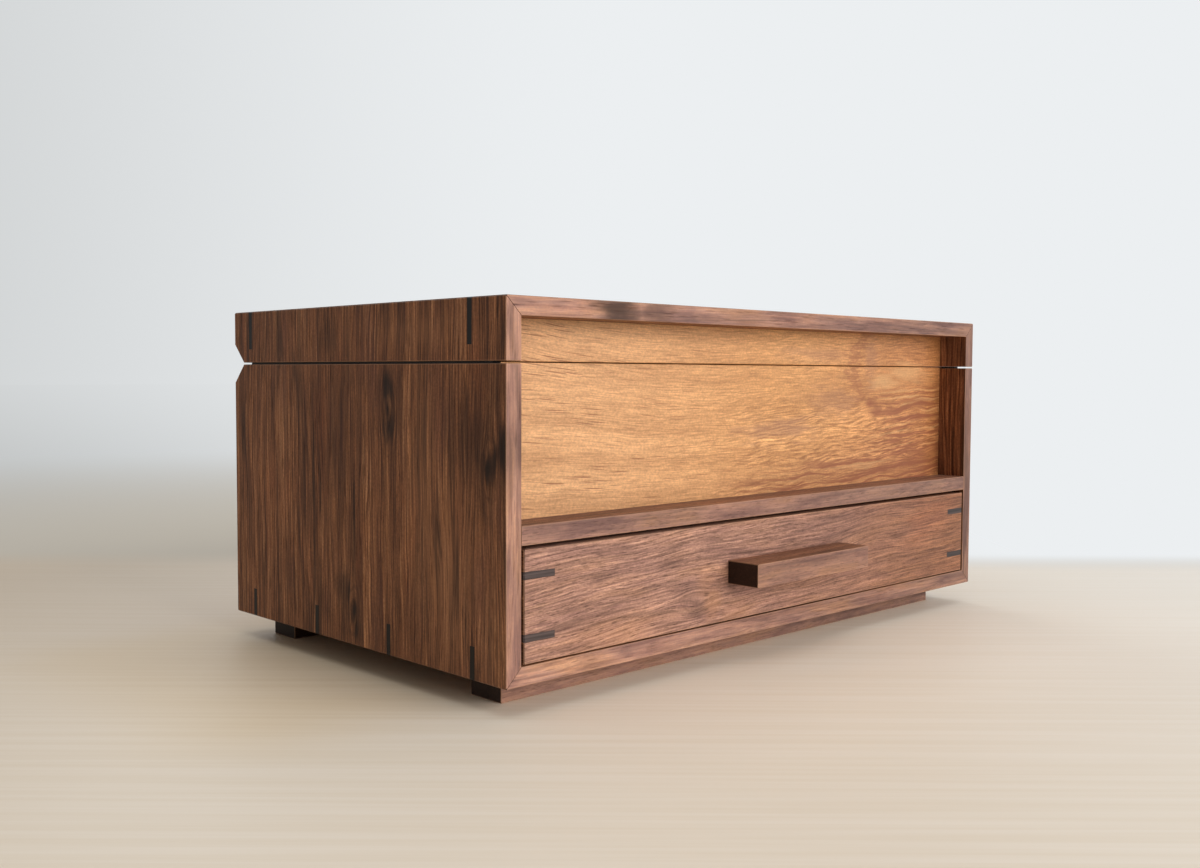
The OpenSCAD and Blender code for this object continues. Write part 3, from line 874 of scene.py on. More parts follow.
def walnut_wear(f, colour):
    """The colour, with painted shade that darkens it to the right, a whole-board brightness that is painted
    shade on boards lying in shade, end grain darkened partly as its own tone and partly as painted shade,
    pale worn edges and dark seams.
    """
    # Painted shade: darker to the right, fully on the edges and less on the faces, and darker all over where
    # depth is low.
    dimmed = f.product(f.rightward, f.between(f.edge, FACE_DIM, 1.0))
    colour = f.times(colour, f.between(dimmed, f.depth, f.depth * (1 - f.dim)))
    # End grain: its own darker tone, and painted shade.
    colour = f.stain(colour, END_GRAIN, f.stored("end_grain"), 0.94)
    worn = f.stored("worn")
    colour = f.stain(colour, WORN, f.fade(worn, 0.0, 1.0), 0.30)
    return f.stain(colour, POCKET, f.fade(worn, 0.0, -1.0), 0.85)


def walnut(name, **own):
    f = Walnut(name, **own)
    grain = part_around(f, f.log, f.knots)
    lines, tone, fibres, growth, pores = walnut_lines(f, grain)
    lively = f.product(f.quiet, f.between(f.rightward, f.swing, f.swing * (1 - f.settle)))
    tone = f.math("MULTIPLY_ADD", f.math("SUBTRACT", tone, 0.5), lively, 0.5)
    colour = walnut_colour(f, grain, lines, tone, fibres)
    colour = walnut_marks(f, colour, lines, growth, pores)
    colour = walnut_wear(f, colour)
    roughness = f.math("MULTIPLY_ADD", pores, 0.2, f.between(fibres, 0.46, 0.62))
    f.bump(f.math("MULTIPLY_ADD", pores, -1.0, f.product(fibres, 0.35)), 0.07 * MM, 0.8)
    return f.set(base_color=colour, roughness=roughness, specular_ior_level=0.22)


def set_finish(kind, material):
    """One material on every board of that kind."""
    boards = [name for name, (finish, lie) in BOARDS.items() if finish == kind]
    for name in boards:
        wooden[name].data.materials.clear()
        wooden[name].data.materials.append(material)
    print(material.name, "on", len(boards), "pieces,", len(material.node_tree.nodes), "nodes")


# %% Walnut on the case
SIDE_KNOTS = [
    (108, -20, 22, 9),
    (86, -90, 22, 9),
    (16, 8, 20, 9),
    (case_h + 210, 30, 60, 22),
]
SIDE_SMOKE = [
    (118, -20, 14, 10, 1.0),
    (101, -21, 13, 10, 0.9),
    (108, -20, 32, 18, 0.45),
    (95, -98, 22, 10, 1.0),
    (87, -88, 17, 12, 0.95),
    (98, -80, 34, 25, 0.7),
    (74, -85, 20, 12, 0.5),
    (116, -95, 20, 9, 0.55),
    (48, -101, 26, 4, 0.85),
    (25, 15, 15, 11, 0.8),
    (16, 8, 15, 8, 0.85),
    (7, 5, 11, 7, 0.75),
    (16, 10, 30, 18, 0.4),
    (141, 27, 14, 11, 0.6),
    (96, 20, 22, 14, 0.3),
    (66, 41.5, 84, 2.4, 0.55),
    (100, 24, 62, 26, 0.35),
    (case_h + 66, -101, 30, 20, 0.5),
    (case_h + 210, 30, 55, 17, 0.6),
    (case_h + case_w + 60, -40, 44, 15, 0.55),
]
EDGE_SMOKE = [
    (case_h + 62, -103, 20, 20, 0.9),
    (case_h + 84, -103, 16, 20, 0.55),
    (92, -103, 26, 20, 0.22),
]
SIDE_HEARTS = [
    (118, -20, 9, 5.5, 0.85),
    (108, -20, 6, 2.2, 1.0),
    (100, -21, 7, 5.0, 0.75),
    (86, -89, 7, 3.6, 1.0),
    (94, -99, 13, 5.0, 0.9),
    (90, -93, 9, 2.2, 0.8),
    (16, 7.5, 7, 2.8, 1.0),
    (24, 12, 9, 2.4, 0.75),
    (8, 6, 7, 2.0, 0.7),
    (60, 7, 46, 1.5, 0.9),
    (66, 41.5, 84, 1.1, 0.8),
    (90, -38, 46, 1.0, 0.65),
    (70, -67, 60, 1.0, 0.65),
    (64, 88, 70, 1.0, 0.55),
    (case_h + 212, 30, 11, 3, 0.8),
]
SIDE_GLOW = [
    (42, -62, 62, 26, 0.34),
    (70, -46, 80, 14, 0.26),
    (20, -92, 30, 12, 0.25),
    # Painted light: the lid's side is paler at its front, where more light falls.
    (142, -45, 13, 62, 0.2),
]
# On the case: pink edges that are partly painted sheen, and painted shade towards the right.
set_finish("walnut_wrap", walnut(
    "walnut_wrap", knots=SIDE_KNOTS, smoke=SIDE_SMOKE, hearts=SIDE_HEARTS, glow=SIDE_GLOW,
    edge_smoke=EDGE_SMOKE, fibre=(40, 1.05, 1.05), pore=(14, 1.1, 1.1), pore_share=0.5, growth_share=0.65,
    contrast=0.65, swing=1.18, depth=1.25, specks=0.28, rosy=0.5, dim=0.36,
))

# %% Walnut on the rails, the handle, the drawer box and the rear foot, the last two darkened as painted shade
# The rails and the handle: their pink is partly painted sheen; the rails also get painted shade towards the
# right.
set_finish("walnut_rail", walnut("walnut_rail", rosy=0.42, blush=0.22, growth_share=0.35, swing=0.8, dim=0.3))
set_finish("walnut_handle", walnut("walnut_handle", rosy=0.38, blush=0.08, swing=0.7))
# The drawer box and the rear foot are darker as painted shade: the drawer's sides sit in a narrow gap, and
# the rear foot sits under the box.
set_finish("walnut_inside", walnut("walnut_inside", rosy=0.2, swing=0.8, growth_share=0.35, depth=0.8))
set_finish("walnut_foot", walnut("walnut_foot", depth=0.28))

# %% Walnut on the drawer front
# A crease in the figure by the knot: its dark smoke is partly figure and partly painted shade, and the golden
# patches beside it are partly pale wood and partly painted sheen.
DRAWER_KNOTS = [(-67, 36, 20, 10)]
DRAWER_SMOKE = [
    (-66, 31, 9, 7, 0.42),
    (-74, 42, 16, 12, 0.26),
    (-82, 56, 14, 10, 0.24),
]
DRAWER_GLOW = [
    (-122, 28, 50, 16, 0.25),
    (-55, 32, 10, 12, 0.5),
    (-60, 42, 9, 10, 0.35),
    (-40, 25, 22, 10, 0.25),
]
# A pink painted sheen at the drawer front's left, fading to the right.
set_finish("walnut_drawer", walnut(
    "walnut_drawer", knots=DRAWER_KNOTS, smoke=DRAWER_SMOKE, glow=DRAWER_GLOW, ragged=0.3, ringed=False,
    streak=(22, 0.9, 1.1), pore=(7, 0.9, 0.9), pore_share=0.5, growth_share=0.3, contrast=0.85, swing=0.62,
    depth=1.1, blush=0.56, fading=0.47, settle=0.5, patchy=0.45,
))

# %% [markdown]
# ## The figured panels
# The front panel is a golden wood. At its left it is calm, with short brown pores and lines that droop a
# little towards the end. Towards the right and the bottom it grows darker and curly: the fibres wave in and
# out of the surface, so that short light and dark ripples cross the board. Along its bottom it is darker
# still, as painted shade. Near the right end the lines hook around an oval, with a red-brown rim and a cream
# patch inside it. The oval is placed by its middle and its two radii, and the rest is noise, stretched and
# tilted along the lines. Places are in millimetres: along from the middle of the box, and across from the
# floor.

# %% Colours and places on the panel
GOLD_LEFT = screen(214, 164, 118)
GOLD = screen(203, 149, 96)
AMBER = screen(178, 118, 72)
RED_BAND = screen(138, 79, 51)
CREAM = screen(226, 182, 128)
HAZE = screen(152, 108, 84)
PANEL_PORE = screen(124, 70, 42)
BAND_DARK, BAND_PALE = (0.82, 0.78, 0.74, 1), (1.12, 1.13, 1.14, 1)
SILK_DARK, SILK_PALE = (0.74, 0.71, 0.66, 1), (1.19, 1.19, 1.18, 1)
RIPPLE_DARK, RIPPLE_PALE = (0.50, 0.42, 0.36, 1), (1.50, 1.58, 1.66, 1)
OVAL = (130, 140, 50, 26)
RIM_ENDS = (160.0, 105.0)
GOLDEN = (-150.0, 30.0)
AMBERED = (20.0, 165.0)
CURLY = ((-110.0, 45.0), (132.0, 88.0))
BELOW_OVAL = ((80.0, 135.0), (136.0, 122.0))
AT_BOTTOM = ((-60.0, 40.0), (92.0, 80.0))
# Painted shade along the bottom of the panel, next to the shelf.
SHADED = ((-120.0, 60.0), (104.0, 76.0))
RIPPLE_CLIMB, RED_CLIMB, BOTTOM_CLIMB = 0.07, 0.05, 0.078
DROOP, DROOP_END, DROOP_BEND = 0.1, -100, 60.0
CREAM_PATCHES = [(112, 132, 24, 7, 0.42), (136, 137, 30, 9, 0.35)]
HAZE_PATCHES = [
    (20, 108, 46, 10, 0.55),
    (62, 122, 34, 13, 0.42),
    (98, 144, 9, 24, 0.4),
    (50, 146, 40, 7, 0.35),
]
RED_MARKS = [
    (97, 120, 7, 2.4, 0.8),
    (104, 115, 10, 2.6, 0.7),
    (150, 121, 26, 3, 0.5),
    (140, 111, 34, 3, 0.6),
]
print("the oval's middle is", OVAL[0], "mm right of the middle and", OVAL[1], "mm above the floor")


# %% Figure of the panel
def within(f, along, across, region):
    """1 inside a region of the panel, reached between two places along it and two across it."""
    return f.product(f.fade(along, *region[0]), f.fade(across, *region[1]))


def oval_rim(f, grain):
    """1 on the torn rim of the oval and 0 away from it."""
    tear = f.sway(grain, (9, 3, 5), 0.4, detail=4, roughness=0.6)
    reach = f.math("ADD", reach_of(f, grain, *OVAL), tear)
    return f.fade(f.math("ABSOLUTE", f.math("SUBTRACT", reach, 1.0)), 0.16, 0.0)


def ripples(f, grain, along, across):
    """Short light and dark waves, climbing to the right, as a colour to multiply with."""
    climb = f.math("MULTIPLY_ADD", along, -RIPPLE_CLIMB, across)
    height = f.math("ADD", climb, f.sway(grain, (44, 16, 16), 5.0, detail=2))
    wave = f.noise(f.node("CombineXYZ", {"X": along, "Y": height}), (11, 1.05, 5), detail=3, roughness=0.55)
    return f.ramp(wave, (0.38, RIPPLE_DARK), (0.49, PLAIN_TINT), (0.60, RIPPLE_PALE))


print("ripples climb by", RIPPLE_CLIMB, "mm in each mm")


# %% Ground and curl of the panel
def panel_ground(f, grain, lines, along, fibres):
    """Gold that turns to amber, with soft bands, silky fibres and flecks."""
    colour = f.mix(f.fade(along, *GOLDEN), GOLD_LEFT, GOLD)
    colour = f.stain(colour, AMBER, f.fade(along, *AMBERED), 0.85)
    bands = f.noise(lines, (130, 9, 14), detail=4, roughness=0.6)
    colour = f.times(colour, f.ramp(bands, (0.3, BAND_DARK), (0.7, BAND_PALE)))
    colour = f.times(colour, f.ramp(fibres, (0.27, SILK_DARK), (0.73, SILK_PALE)))
    return f.times(colour, flecks(f, grain, 0.2))


def curled(f, colour, grain, along, across):
    """The colour with patches of ripples, stronger to the right and to the bottom."""
    lower = f.between(f.fade(across, *CURLY[1]), 0.35, 1.0)
    patches = f.between(f.fade(f.noise(grain, (40, 13, 13), detail=2), 0.34, 0.62), 0.3, 1.0)
    curl = f.product(f.fade(along, *CURLY[0]), lower, patches)
    return f.mix(curl, colour, f.times(colour, ripples(f, grain, along, across)))


print("the panel turns curly from", CURLY[0][0], "to", CURLY[0][1], "mm along")


# %% Red lines, oval and patches of the panel
def red_lined(f, colour, grain, lines, along, across, bottom):
    """The colour with red and cream lines that climb under the oval and along the bottom."""
    climb = f.product(f.math("MAXIMUM", f.math("SUBTRACT", along, BELOW_OVAL[0][0]), 0.0), -RED_CLIMB)
    rise = f.math("ADD", f.sway(grain, (26, 14, 14), 3.5, detail=2), climb)
    flow_at = f.vector("ADD", lines, f.node("CombineXYZ", {"Y": rise}))
    flow = f.noise(flow_at, (60, 2.2, 5), detail=4, roughness=0.6)
    here = f.highest(within(f, along, across, BELOW_OVAL), within(f, along, bottom, AT_BOTTOM))
    colour = f.stain(colour, RED_BAND, f.product(f.fade(flow, 0.49, 0.58), here), 0.85)
    return f.stain(colour, CREAM, f.product(f.fade(flow, 0.43, 0.34), here), 0.35)


def panel_marks(f, colour, grain, along):
    """The colour with the rim of the oval, and patches of cream, haze and red."""
    colour = f.stain(colour, RED_BAND, oval_rim(f, grain), f.product(f.fade(along, *RIM_ENDS), 0.5))
    colour = f.mix(smudges(f, grain, CREAM_PATCHES, 0.7), colour, CREAM)
    colour = f.mix(smudges(f, grain, HAZE_PATCHES, 0.9), colour, HAZE)
    return f.mix(smudges(f, grain, RED_MARKS, 0.4), colour, RED_BAND)


print(len(CREAM_PATCHES), "cream patches,", len(HAZE_PATCHES), "hazy ones and", len(RED_MARKS), "red marks")


# %% Figured finish
def figured(name):
    f = Finish(name)
    grain = f.stored("grain", "Vector")
    apart = f.node("SeparateXYZ", {0: grain}, "X").node
    along, across = apart.outputs["X"], apart.outputs["Y"]
    bottom = f.math("MULTIPLY_ADD", along, -BOTTOM_CLIMB, across)
    left_end = f.math("SMOOTH_MIN", f.math("SUBTRACT", along, DROOP_END), 0.0, DROOP_BEND)
    drop = f.math("MULTIPLY_ADD", left_end, DROOP, f.sway(grain, (80, 26, 26), 4.0, detail=2))
    lines = f.vector("ADD", grain, f.node("CombineXYZ", {"Y": drop}))
    fibres = f.noise(lines, (14, 0.55, 0.55), detail=2, roughness=0.6)

    colour = panel_ground(f, grain, lines, along, fibres)
    colour = curled(f, colour, grain, along, across)
    colour = red_lined(f, colour, grain, lines, along, across, bottom)
    colour = panel_marks(f, colour, grain, along)
    dashes = f.fade(f.cells(lines, (26, 0.85, 0.85)), 0.32, 0.18)
    patchy = f.fade(f.noise(grain, (55, 9, 9), detail=2), 0.36, 0.56)
    leftward = f.between(f.fade(along, *CURLY[0]), 1.0, 0.25)
    colour = f.mix(f.product(dashes, patchy, f.product(leftward, 0.7)), colour, PANEL_PORE)
    # Painted shade: a darker, redder strip along the bottom of the panel.
    colour = f.stain(colour, RED_BAND, within(f, along, bottom, SHADED), 0.32)
    colour = f.stain(colour, PANEL_PORE, f.fade(f.stored("worn"), 0.0, -1.0), 0.8)

    f.bump(f.math("MULTIPLY_ADD", dashes, -1.0, f.product(fibres, 0.35)), 0.05 * MM, 0.7)
    return f.set(base_color=colour, roughness=f.between(fibres, 0.40, 0.55), specular_ior_level=0.28)


set_finish("figured", figured("figured_wood"))

# %% [markdown]
# ## Ebony splines and the birch drawer bottom
# The splines are slips of a near-black wood. They are not black paint: under the oil there are faint brown
# lines and a soft sheen. Those of the drawer are greyer and brighter at the left, as painted sheen, and
# darker to the right, as painted shade. The drawer bottom is thin birch plywood, pale, with a broad, lazy
# figure.


# %% Ebony and birch
def ebony(name, dark, plain, pale, left=1.0, right=1.0):
    f = Finish(name)
    lines = f.noise(f.stored("grain", "Vector"), (60, 0.8, 0.8), detail=4, roughness=0.6)
    colour = f.ramp(lines, (0.35, dark), (0.58, plain), (0.8, pale))
    # Brighter to the left and darker to the right: painted light and painted shade.
    rightward = f.fade(f.stored("rightward"), 0.0, 1.0)
    colour = f.times(colour, f.between(rightward, left, right))
    f.bump(lines, 0.04 * MM, 0.6)
    return f.set(base_color=colour, roughness=f.between(lines, 0.38, 0.53), specular_ior_level=0.25)


BIRCH_DARK, BIRCH, BIRCH_PALE = screen(206, 178, 138), screen(222, 197, 158), screen(232, 211, 176)
BIRCH_FIBRE = screen(190, 158, 116)


def birch(name):
    f = Finish(name)
    grain = f.stored("grain", "Vector")
    figure = f.noise(grain, (140, 16, 1), detail=4, roughness=0.55)
    fibres = f.noise(grain, (30, 0.6, 0.6), detail=2)
    colour = f.ramp(figure, (0.3, BIRCH_DARK), (0.5, BIRCH), (0.7, BIRCH_PALE))
    colour = f.stain(colour, BIRCH_FIBRE, fibres, 0.25)
    f.bump(fibres, 0.04 * MM, 0.5)
    return f.set(base_color=colour, roughness=0.6, specular_ior_level=0.3)


side_ebony = ebony("ebony", screen(14, 9, 7), screen(25, 18, 14), screen(48, 35, 28))
# The drawer's splines: their grey is painted sheen, brighter at the left as painted light and darker at the
# right as painted shade.
drawer_ebony = ebony("ebony_grey", screen(50, 40, 38), screen(74, 61, 58), screen(100, 84, 79), 1.3, 0.68)
set_finish("ebony", side_ebony)
set_finish("ebony_grey", drawer_ebony)
set_finish("birch", birch("birch_ply"))

# %% [markdown]
# ## Hinges and screws
# The lid turns on two brass butt hinges, let into the back edges and held by brass screws. Two steel screws
# hold the handle from inside the drawer. Metal takes nearly all of its looks from what it mirrors, so an
# even metallic shader looks like foil. Fine brushed lines, a roughness that changes from place to place,
# clouds of tarnish and a few bright scratches make it a piece of hardware. The leaves also get rounded
# edges. The pins and screws keep their own shape.


# %% Metals
def place_in_mm(f):
    return f.scaled(f.node("TexCoord", {}, "Object"), 1 / MM)


def metal(name, tarnished, plain, bright):
    f = Finish(name)
    place = place_in_mm(f)
    brushed = f.noise(place, (14, 0.12, 0.12), detail=3, roughness=0.6)
    clouds = f.noise(place, (7, 5, 5), detail=4, roughness=0.6)
    colour = f.ramp(clouds, (0.34, tarnished), (0.52, plain), (0.74, bright))
    scratches = f.fade(f.cells(place, (9, 0.35, 0.35)), 0.16, 0.05)
    colour = f.stain(colour, bright, scratches, 0.35)
    worn_bright = f.between(clouds, 0.38, 0.18)
    f.bump(brushed, 0.012 * MM, 0.6)
    return f.set(base_color=colour, metallic=1.0, roughness=f.math("MULTIPLY_ADD", brushed, 0.2, worn_bright))


brass = metal("brass", screen(158, 116, 62), screen(202, 158, 92), screen(226, 188, 122))
steel = metal("steel", screen(158, 157, 156), screen(190, 190, 191), screen(216, 216, 218))
print("metals:", brass.name, "and", steel.name)

# %% Hinge leaves, pins and screws
LEAF_EDGE = 0.2 * MM


def dress(piece, material):
    piece.data.materials.clear()
    piece.data.materials.append(material)
    return piece


for name in nodes:
    if name.startswith("hinge_leaf"):
        dress(finished_piece(name, name + "_brass", LEAF_EDGE, cut=False), brass)
    elif name.startswith(("hinge_pin", "hinge_screws")):
        nodes[name].material_slots[0].material = brass
    elif name.startswith("handle_screws"):
        nodes[name].material_slots[0].material = steel
print("brass and steel:", [name for name in nodes if "hinge" in name or "handle_screws" in name])

# %% [markdown]
# ## Suede and felt
# The tray is lined with dark suede: thin boards, wrapped before they went in, so their edges are soft.
# Suede has a nap, which lies this way and that where a hand has brushed it. That is two noises, a slow one
# for the brushing and a fine one for the nap, with sheen for the bright rim of fuzz that every napped cloth
# has. Felt has no nap but a tangle of short fibres, so its noise is drawn out and then twisted. The two
# felt strips where the lid comes down, and the felt in the drawer, are cut from a sheet one millimetre
# thick or less.


# %% Suede and felt finishes
def suede(name, dark, plain, light):
    f = Finish(name)
    place = place_in_mm(f)
    brushing = f.noise(place, (30, 17, 24), detail=2, roughness=0.55, distortion=0.5)
    nap = f.noise(place, (0.9, 0.9, 0.9), detail=3, roughness=0.7)
    tone = f.math("MULTIPLY_ADD", nap, 0.42, f.product(brushing, 0.58))
    colour = f.ramp(tone, (0.38, dark), (0.50, plain), (0.63, light))
    f.bump(nap, 0.14 * MM, 0.8)
    f.set(base_color=colour, roughness=f.between(nap, 0.82, 0.96))
    return f.set(specular_ior_level=0.12, sheen_weight=0.3, sheen_roughness=0.45, sheen_tint=light)


FELT_DARK, FELT, FELT_PALE = screen(27, 26, 27), screen(43, 42, 43), screen(70, 68, 68)
LINT = screen(122, 118, 116)


def felt(name):
    f = Finish(name)
    place = place_in_mm(f)
    fibres = f.noise(place, (2.6, 0.4, 0.4), detail=3, roughness=0.65, distortion=2.5)
    thin = f.noise(place, (30, 22, 22), detail=2)
    tone = f.math("MULTIPLY_ADD", thin, 0.35, f.product(fibres, 0.65))
    colour = f.ramp(tone, (0.36, FELT_DARK), (0.52, FELT), (0.70, FELT_PALE))
    lint = f.fade(f.cells(f.vector("ADD", place, f.scaled(fibres, 2.0)), (3.5, 1.0, 1.0)), 0.16, 0.05)
    colour = f.stain(colour, LINT, lint, 0.3)
    f.bump(fibres, 0.16 * MM, 0.9)
    f.set(base_color=colour, roughness=f.between(fibres, 0.85, 0.97))
    return f.set(specular_ior_level=0.1, sheen_weight=0.25, sheen_roughness=0.6)


tray_suede = suede("tray_suede", screen(70, 58, 49), screen(86, 73, 62), screen(106, 91, 78))
pillow_suede = suede("pillow_suede", screen(152, 128, 104), screen(174, 149, 122), screen(196, 172, 146))
black_felt = felt("black_felt")
print("cloths:", [cloth.name for cloth in (tray_suede, pillow_suede, black_felt)])

# %% Wrapped boards and felt
WRAPPED_EDGE = 1.0 * MM
FELT_EDGE = 0.25 * MM
for name in nodes:
    if name.startswith(("liner", "divider")):
        dress(finished_piece(name, name + "_suede", WRAPPED_EDGE, segments=4, cut=False), tray_suede)
    elif name.startswith("seat_strip"):
        dress(finished_piece(name, name + "_felt", FELT_EDGE, segments=3, cut=False), black_felt)
drawer_felt = finished_piece("drawer_lining", "drawer_lining_felt", FELT_EDGE, segments=3, cut=False)
dress(drawer_felt, black_felt)

# %% [markdown]
# ## The padded lid and the padded tray floor
# The pad in the lid is suede over a thin layer of foam, sewn all around a finger's width from its border.
# The pad under the pillows is the same without the seam. They are only three millimetres thick, less than a
# cloth simulation can hold, so their section is drawn instead: a rolled edge, a dip at the sewn line and a
# low crown. That section is swept inwards from all four sides over a grid, with lines set close together
# where the section bends.

# %% Section of a pad
ROLLED = 2.6
CROWN, CROWN_AT = 0.1, 60
SEWN_AT = 11.0
SEAM_DIP, SEAM_W = 0.5, 1.3
PAD_MESH = 7


def pad_section(inset, sewn):
    """Height, from 0 to 1, at a distance in mm from the border."""
    start = np.clip(inset / ROLLED, 0, 1)
    crown = 1 - CROWN + CROWN * np.clip(inset / CROWN_AT, 0, 1)
    dip = SEAM_DIP * np.exp(-(((inset - SEWN_AT) / SEAM_W) ** 2))
    return np.sqrt(1 - (1 - start) ** 2) * crown - sewn * dip


def pad_lines(length):
    """Places of the grid's lines along one side, in mm."""
    rim = [0, 0.15, 0.5, 1.1, 1.9, 2.8, 5, 7.5, 8.8, 9.6, 10.3, 11, 11.7, 12.4, 13.2, 14.5, 17]
    middle = np.linspace(rim[-1], length - rim[-1], max(3, round((length - 2 * rim[-1]) / PAD_MESH)))
    return np.array(rim[:-1] + list(middle) + [length - r for r in reversed(rim[:-1])])


print("a pad dips by a share of", SEAM_DIP, "of its height at its sewn line")

# %% A pad from its section
STITCH_PITCH = 4.2
PAD_GATHER, PAD_GATHER_W = 0.05, 3
PAD_SMOOTH_ANGLE = math.radians(75)


def soft_pad(name, title, upwards, sewn):
    low, high = (np.array(corner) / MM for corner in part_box(name))
    xs, ys = pad_lines(high[0] - low[0]), pad_lines(high[1] - low[1])
    across, along = np.meshgrid(xs, ys, indexing="ij")
    inset = np.minimum(np.minimum(across, xs[-1] - across), np.minimum(along, ys[-1] - along))
    beside = np.exp(-(((inset - SEWN_AT) / PAD_GATHER_W) ** 2))
    gathers = PAD_GATHER * np.sin((across + along) * 2 * math.pi / STITCH_PITCH) * beside
    height = (high[2] - low[2]) * (pad_section(inset, sewn) + sewn * gathers)
    bm = bmesh.new()
    face_z, base_z = (low[2] + height, low[2]) if upwards else (high[2] - height, high[2])
    top = [[bm.verts.new(Vector((low[0] + x, low[1] + y, face_z[i, j])) * MM) for j, y in enumerate(ys)]
           for i, x in enumerate(xs)]
    base = [[top[i][j] if inset[i, j] == 0 else bm.verts.new(Vector((low[0] + x, low[1] + y, base_z)) * MM)
             for j, y in enumerate(ys)] for i, x in enumerate(xs)]
    for grid in (top, base):
        for i in range(len(xs) - 1):
            for j in range(len(ys) - 1):
                bm.faces.new((grid[i][j], grid[i + 1][j], grid[i + 1][j + 1], grid[i][j + 1]))
    bmesh.ops.recalc_face_normals(bm, faces=bm.faces)
    mesh = bpy.data.meshes.new(title)
    bm.to_mesh(mesh)
    bm.free()
    mesh.shade_smooth()
    mesh.set_sharp_from_angle(angle=PAD_SMOOTH_ANGLE)
    pad = dress(new_piece(title, mesh, name), tray_suede)
    print(title, len(mesh.polygons), "faces")


soft_pad("lid_lining", "lid_lining_pad", upwards=False, sewn=1)
soft_pad("tray_floor_pad", "tray_floor_soft", upwards=True, sewn=0)

# %% [markdown]
# ## Stitches
# A sewn line without thread looks like a scratch. Each stitch is a short, thick thread that dives into the
# suede at both ends. One stitch is a tube of a few rings, and it is set down again and again along the sewn
# line. Tubes are needed once more below, for the piping of the pillows, so one helper makes both.


# %% A tube along points
def tube(points, side, radii, closed, sides=8):
    """Vertices and faces of a tube. side is a direction that is never along the tube."""
    points, count = np.array(points), len(points)
    ahead_of = np.roll(points, -1, axis=0) - np.roll(points, 1, axis=0)
    if not closed:
        ahead_of[0], ahead_of[-1] = points[1] - points[0], points[-1] - points[-2]
    across = np.cross(ahead_of, side)
    across /= np.linalg.norm(across, axis=1)[:, None]
    upright = np.cross(across, ahead_of)
    upright /= np.linalg.norm(upright, axis=1)[:, None]
    turn = np.arange(sides) * 2 * math.pi / sides
    ring = across[:, None] * np.cos(turn)[None, :, None] + upright[:, None] * np.sin(turn)[None, :, None]
    verts = (points[:, None] + ring * np.array(radii)[:, None, None]).reshape(-1, 3)
    faces = []
    for i in range(count if closed else count - 1):
        for k in range(sides):
            a, b = i * sides, (i + 1) % count * sides
            faces.append((a + k, b + k, b + (k + 1) % sides, a + (k + 1) % sides))
    if not closed:
        faces += [tuple(range(sides)), tuple(reversed(range(len(verts) - sides, len(verts))))]
    return verts, faces


def joined(parts):
    """Several lists of vertices and faces as one."""
    verts, faces, start = [], [], 0
    for part_verts, part_faces in parts:
        verts.append(part_verts)
        faces += [tuple(start + v for v in face) for face in part_faces]
        start += len(part_verts)
    return np.concatenate(verts), faces


straight = tube([(0.0, 0, 0), (1.0, 0, 0), (2.0, 0, 0)], side=(0, 0, 1), radii=(1, 1, 1), closed=False)
print("a straight tube of 3 rings has", len(straight[1]), "faces")

# %% Stitches in the lid
THREAD_R = 0.3
STITCH_L = 3.2


def stitch_line(start, end):
    """One stitch after another from start to end, in mm, each with its ends sunk upwards into the cloth."""
    run = np.array(end) - np.array(start)
    count = round(np.linalg.norm(run) / STITCH_PITCH)
    step = run / count
    unit = step / np.linalg.norm(step)
    for i in range(count):
        middle = np.array(start) + step * (i + 0.5)
        arch = [(-0.5, 1.0), (-0.3, 0.2), (0, 0), (0.3, 0.2), (0.5, 1.0)]
        points = [middle + unit * STITCH_L * s + np.array((0, 0, THREAD_R * 2 * d)) for s, d in arch]
        yield tube(points, (0, 0, 1.0), [THREAD_R * r for r in (0.6, 0.95, 1, 0.95, 0.6)], False, 6)


def thread_finish(name):
    f = Finish(name)
    place = place_in_mm(f)
    twist = f.noise(place, (0.5, 0.2, 0.2), detail=2, distortion=1.0)
    f.bump(twist, 0.05 * MM, 0.8)
    colour = f.ramp(twist, (0.35, screen(98, 80, 62)), (0.65, screen(150, 128, 102)))
    return f.set(base_color=colour, roughness=0.7, sheen_weight=0.2)


low, high = (np.array(corner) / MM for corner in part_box("lid_lining"))
sewn_z = high[2] - (high[2] - low[2]) * pad_section(np.array(SEWN_AT), 1) - THREAD_R * 0.4
ends = [(x, y, sewn_z) for x, y in (
    (low[0] + SEWN_AT, low[1] + SEWN_AT), (high[0] - SEWN_AT, low[1] + SEWN_AT),
    (high[0] - SEWN_AT, high[1] - SEWN_AT), (low[0] + SEWN_AT, high[1] - SEWN_AT),
)]
stitches = [s for a, b in zip(ends, ends[1:] + ends[:1]) for s in stitch_line(a, b)]
verts, faces = joined(stitches)
thread_mesh = bpy.data.meshes.new("lid_stitches")
thread_mesh.from_pydata((verts * MM).tolist(), [], faces)
thread_mesh.shade_smooth()
lid_stitches = bpy.data.objects.new("lid_stitches", thread_mesh)
scene.collection.objects.link(lid_stitches)
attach(lid_stitches, "lid")
dress(lid_stitches, thread_finish("sewing_thread"))
print(len(stitches), "stitches")

# %% [markdown]
# ## Watch pillows
# A watch is strapped around a small stuffed roll. It is a tube of suede closed by two side panels, with a
# piped seam around each. Stuffing pushes the tube out between the seams, and the seams hold it in, so the
# sides look drawn. A block with rounded edges never looks stuffed, so the roll is blown up: a slightly
# small blank is remeshed to even faces, its seams are pinned, and Blender's Cloth pushes from inside. The
# piping and the small gathers beside it are finer than those faces, so they come after. All twelve start
# from one roll, and each gets dents of its own.

# %% The blank of a pillow
pillow_low, pillow_high = (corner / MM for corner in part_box("watch_pillow_1"))
PILLOW = np.array(pillow_high - pillow_low)
BLANK_SHARE = 0.93
SEAM_INSET = 4.5
SEAM_AT = PILLOW[0] / 2 - SEAM_INSET
VOXEL = 4.0
OUTLINE_POWER = 2.5


